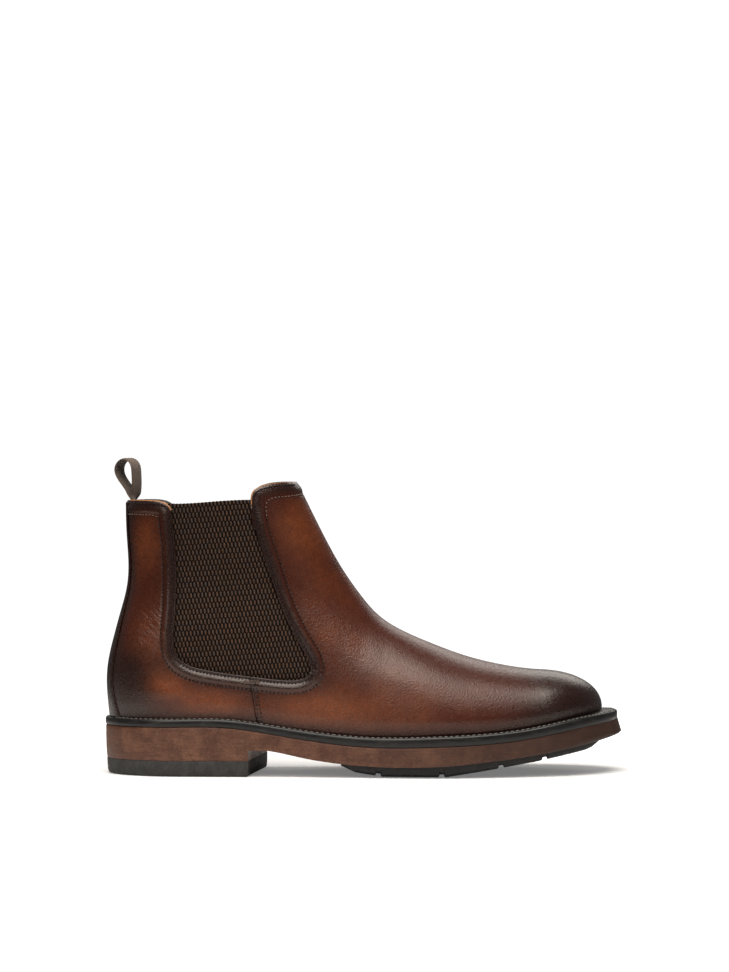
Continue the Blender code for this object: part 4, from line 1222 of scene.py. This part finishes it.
def add_pull_tab():
    """Twill loop that rises out of the collar, turned a little about the upright."""
    line = path(TAB_LINE, even(420))
    run = directions(line)
    out = np.stack([-run[:, 1], run[:, 0]], axis=1)
    across = np.linspace(-1, 1, 27)
    yaw = (TAB_TURN * ease((line[:, 1] + 4) / 6))[:, None]
    slanted = lengths(line)[:, None] + across * TAB_WIDTH * 0.45
    ribs = 0.5 + 0.5 * np.sin(slanted * 2 * math.pi / TAB_RIB_PITCH)
    half = (TAB_THICK / 2 - TAB_RIB_HEIGHT + TAB_RIB_HEIGHT * ribs) * (1 - np.abs(across) ** 8)

    def tape_face(offset):
        forward = line[:, :1] + out[:, :1] * offset
        aside = across * TAB_WIDTH / 2
        x = forward * np.cos(yaw) + aside * np.sin(yaw)
        y = aside * np.cos(yaw) - forward * np.sin(yaw)
        return HINGE + np.stack([x, y, line[:, 1:] + out[:, 1:] * offset], axis=-1)

    def around(front, back):
        return np.concatenate([front, back[:, ::-1][:, 1:-1]], axis=1)

    tab = capped_tube("pull_tab_loop", around(tape_face(half), tape_face(-half)), WEBBING, 60)
    attribute(tab, "rib", around(ribs, ribs).ravel())
    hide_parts("pull_tab", "pull_tab_tail")
    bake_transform(tab)


# --- stage -----------------------------------------------------------------------------------

def finish_inner_parts():
    """Materials of the CAD parts that stay: the ones hidden inside the boot."""
    finishes = {
        "toe_puff": STIFFENER, "heel_counter": STIFFENER, "insole_board": BOARD, "cork_filler": CORK,
        "shank": STEEL,
    }
    finishes.update({f"heel_nail_{number}": STEEL for number in range(1, 6)})
    for node, material in finishes.items():
        part = frame["nodes"][node]
        part.data.materials.clear()
        part.data.materials.append(material)


def add_light(name, place, size, power):
    light = bpy.data.lights.new(name, "AREA")
    light.shape = "RECTANGLE"
    light.size, light.size_y = size
    light.energy = power
    light.color = LAMP_COLOUR
    lamp = bpy.data.objects.new(name, light)
    lamp.location = place
    lamp.rotation_euler = (Vector(LAMP_TARGET) - Vector(place)).to_track_quat("-Z", "Y").to_euler()
    bpy.context.scene.collection.objects.link(lamp)


def add_world():
    """White surroundings for the camera, dimmer for the light they cast on the boot."""
    world = bpy.data.worlds.new("studio")
    world.use_nodes = True
    tree = world.node_tree
    background = tree.nodes["Background"]
    background.inputs["Color"].default_value = (1, 1, 1, 1)
    strength = tree.nodes.new("ShaderNodeMapRange")
    strength.inputs["To Min"].default_value = AMBIENT
    strength.inputs["To Max"].default_value = 1.05
    ray = tree.nodes.new("ShaderNodeLightPath")
    tree.links.new(ray.outputs["Is Camera Ray"], strength.inputs["Value"])
    tree.links.new(strength.outputs["Result"], background.inputs["Strength"])
    bpy.context.scene.world = world


def add_stage():
    """White floor that glows for the camera away from the boot, so only the shadow shows."""
    paper = Finish("white_paper", 0.9)
    from_boot = {0: paper.place, 1: (LAMP_TARGET[0], 0, 0)}
    away = paper.add("ShaderNodeVectorMath", from_boot, operation="DISTANCE").outputs["Value"]
    seen = paper.add("ShaderNodeLightPath").outputs["Is Camera Ray"]
    glow = paper.math("MULTIPLY", seen, paper.ramp(away, 0.12, 0.45, 0.18, 1.05))
    dim = paper.mix(paper.ramp(away, 0.22, 0.6), (0.85, 0.85, 0.85), (0.06, 0.06, 0.06))
    paper.set(Base_Color=dim, Emission_Color=(1.0, 1.0, 1.0), Emission_Strength=glow)
    mesh = bpy.data.meshes.new("floor")
    half = 6.0
    corners = [(-half, -half, 0), (half, -half, 0), (half, half, 0), (-half, half, 0)]
    mesh.from_pydata(corners, [], [(0, 1, 2, 3)])
    mesh.materials.append(paper.material)
    floor = bpy.data.objects.new("floor", mesh)
    floor.location.z = -0.0002
    bpy.context.scene.collection.objects.link(floor)
    add_world()
    for name, (place, size, power) in LAMPS.items():
        add_light(name, place, size, power)
    bpy.context.scene.view_settings.view_transform = "Standard"


def add_camera():
    camera = bpy.data.cameras.new("camera")
    camera.sensor_fit = "VERTICAL"
    camera.sensor_height = SENSOR_MM
    camera.lens = SENSOR_MM * CAMERA_DISTANCE / VIEW_HEIGHT
    holder = bpy.data.objects.new("camera", camera)
    holder.location = (TARGET_X, -CAMERA_DISTANCE, CAMERA_HEIGHT)
    tilt = math.atan((CAMERA_HEIGHT - TARGET_Z) / CAMERA_DISTANCE)
    holder.rotation_euler = (math.pi / 2 - tilt, 0, 0)
    bpy.context.scene.collection.objects.link(holder)
    bpy.context.scene.camera = holder


add_leather()
add_gores()
add_linings()
add_facings()
add_backstay()
add_upper_stitches()
add_welt()
add_midsole()
add_heel()
add_tread()
add_footbed()
add_pull_tab()
finish_inner_parts()
add_stage()
add_camera()
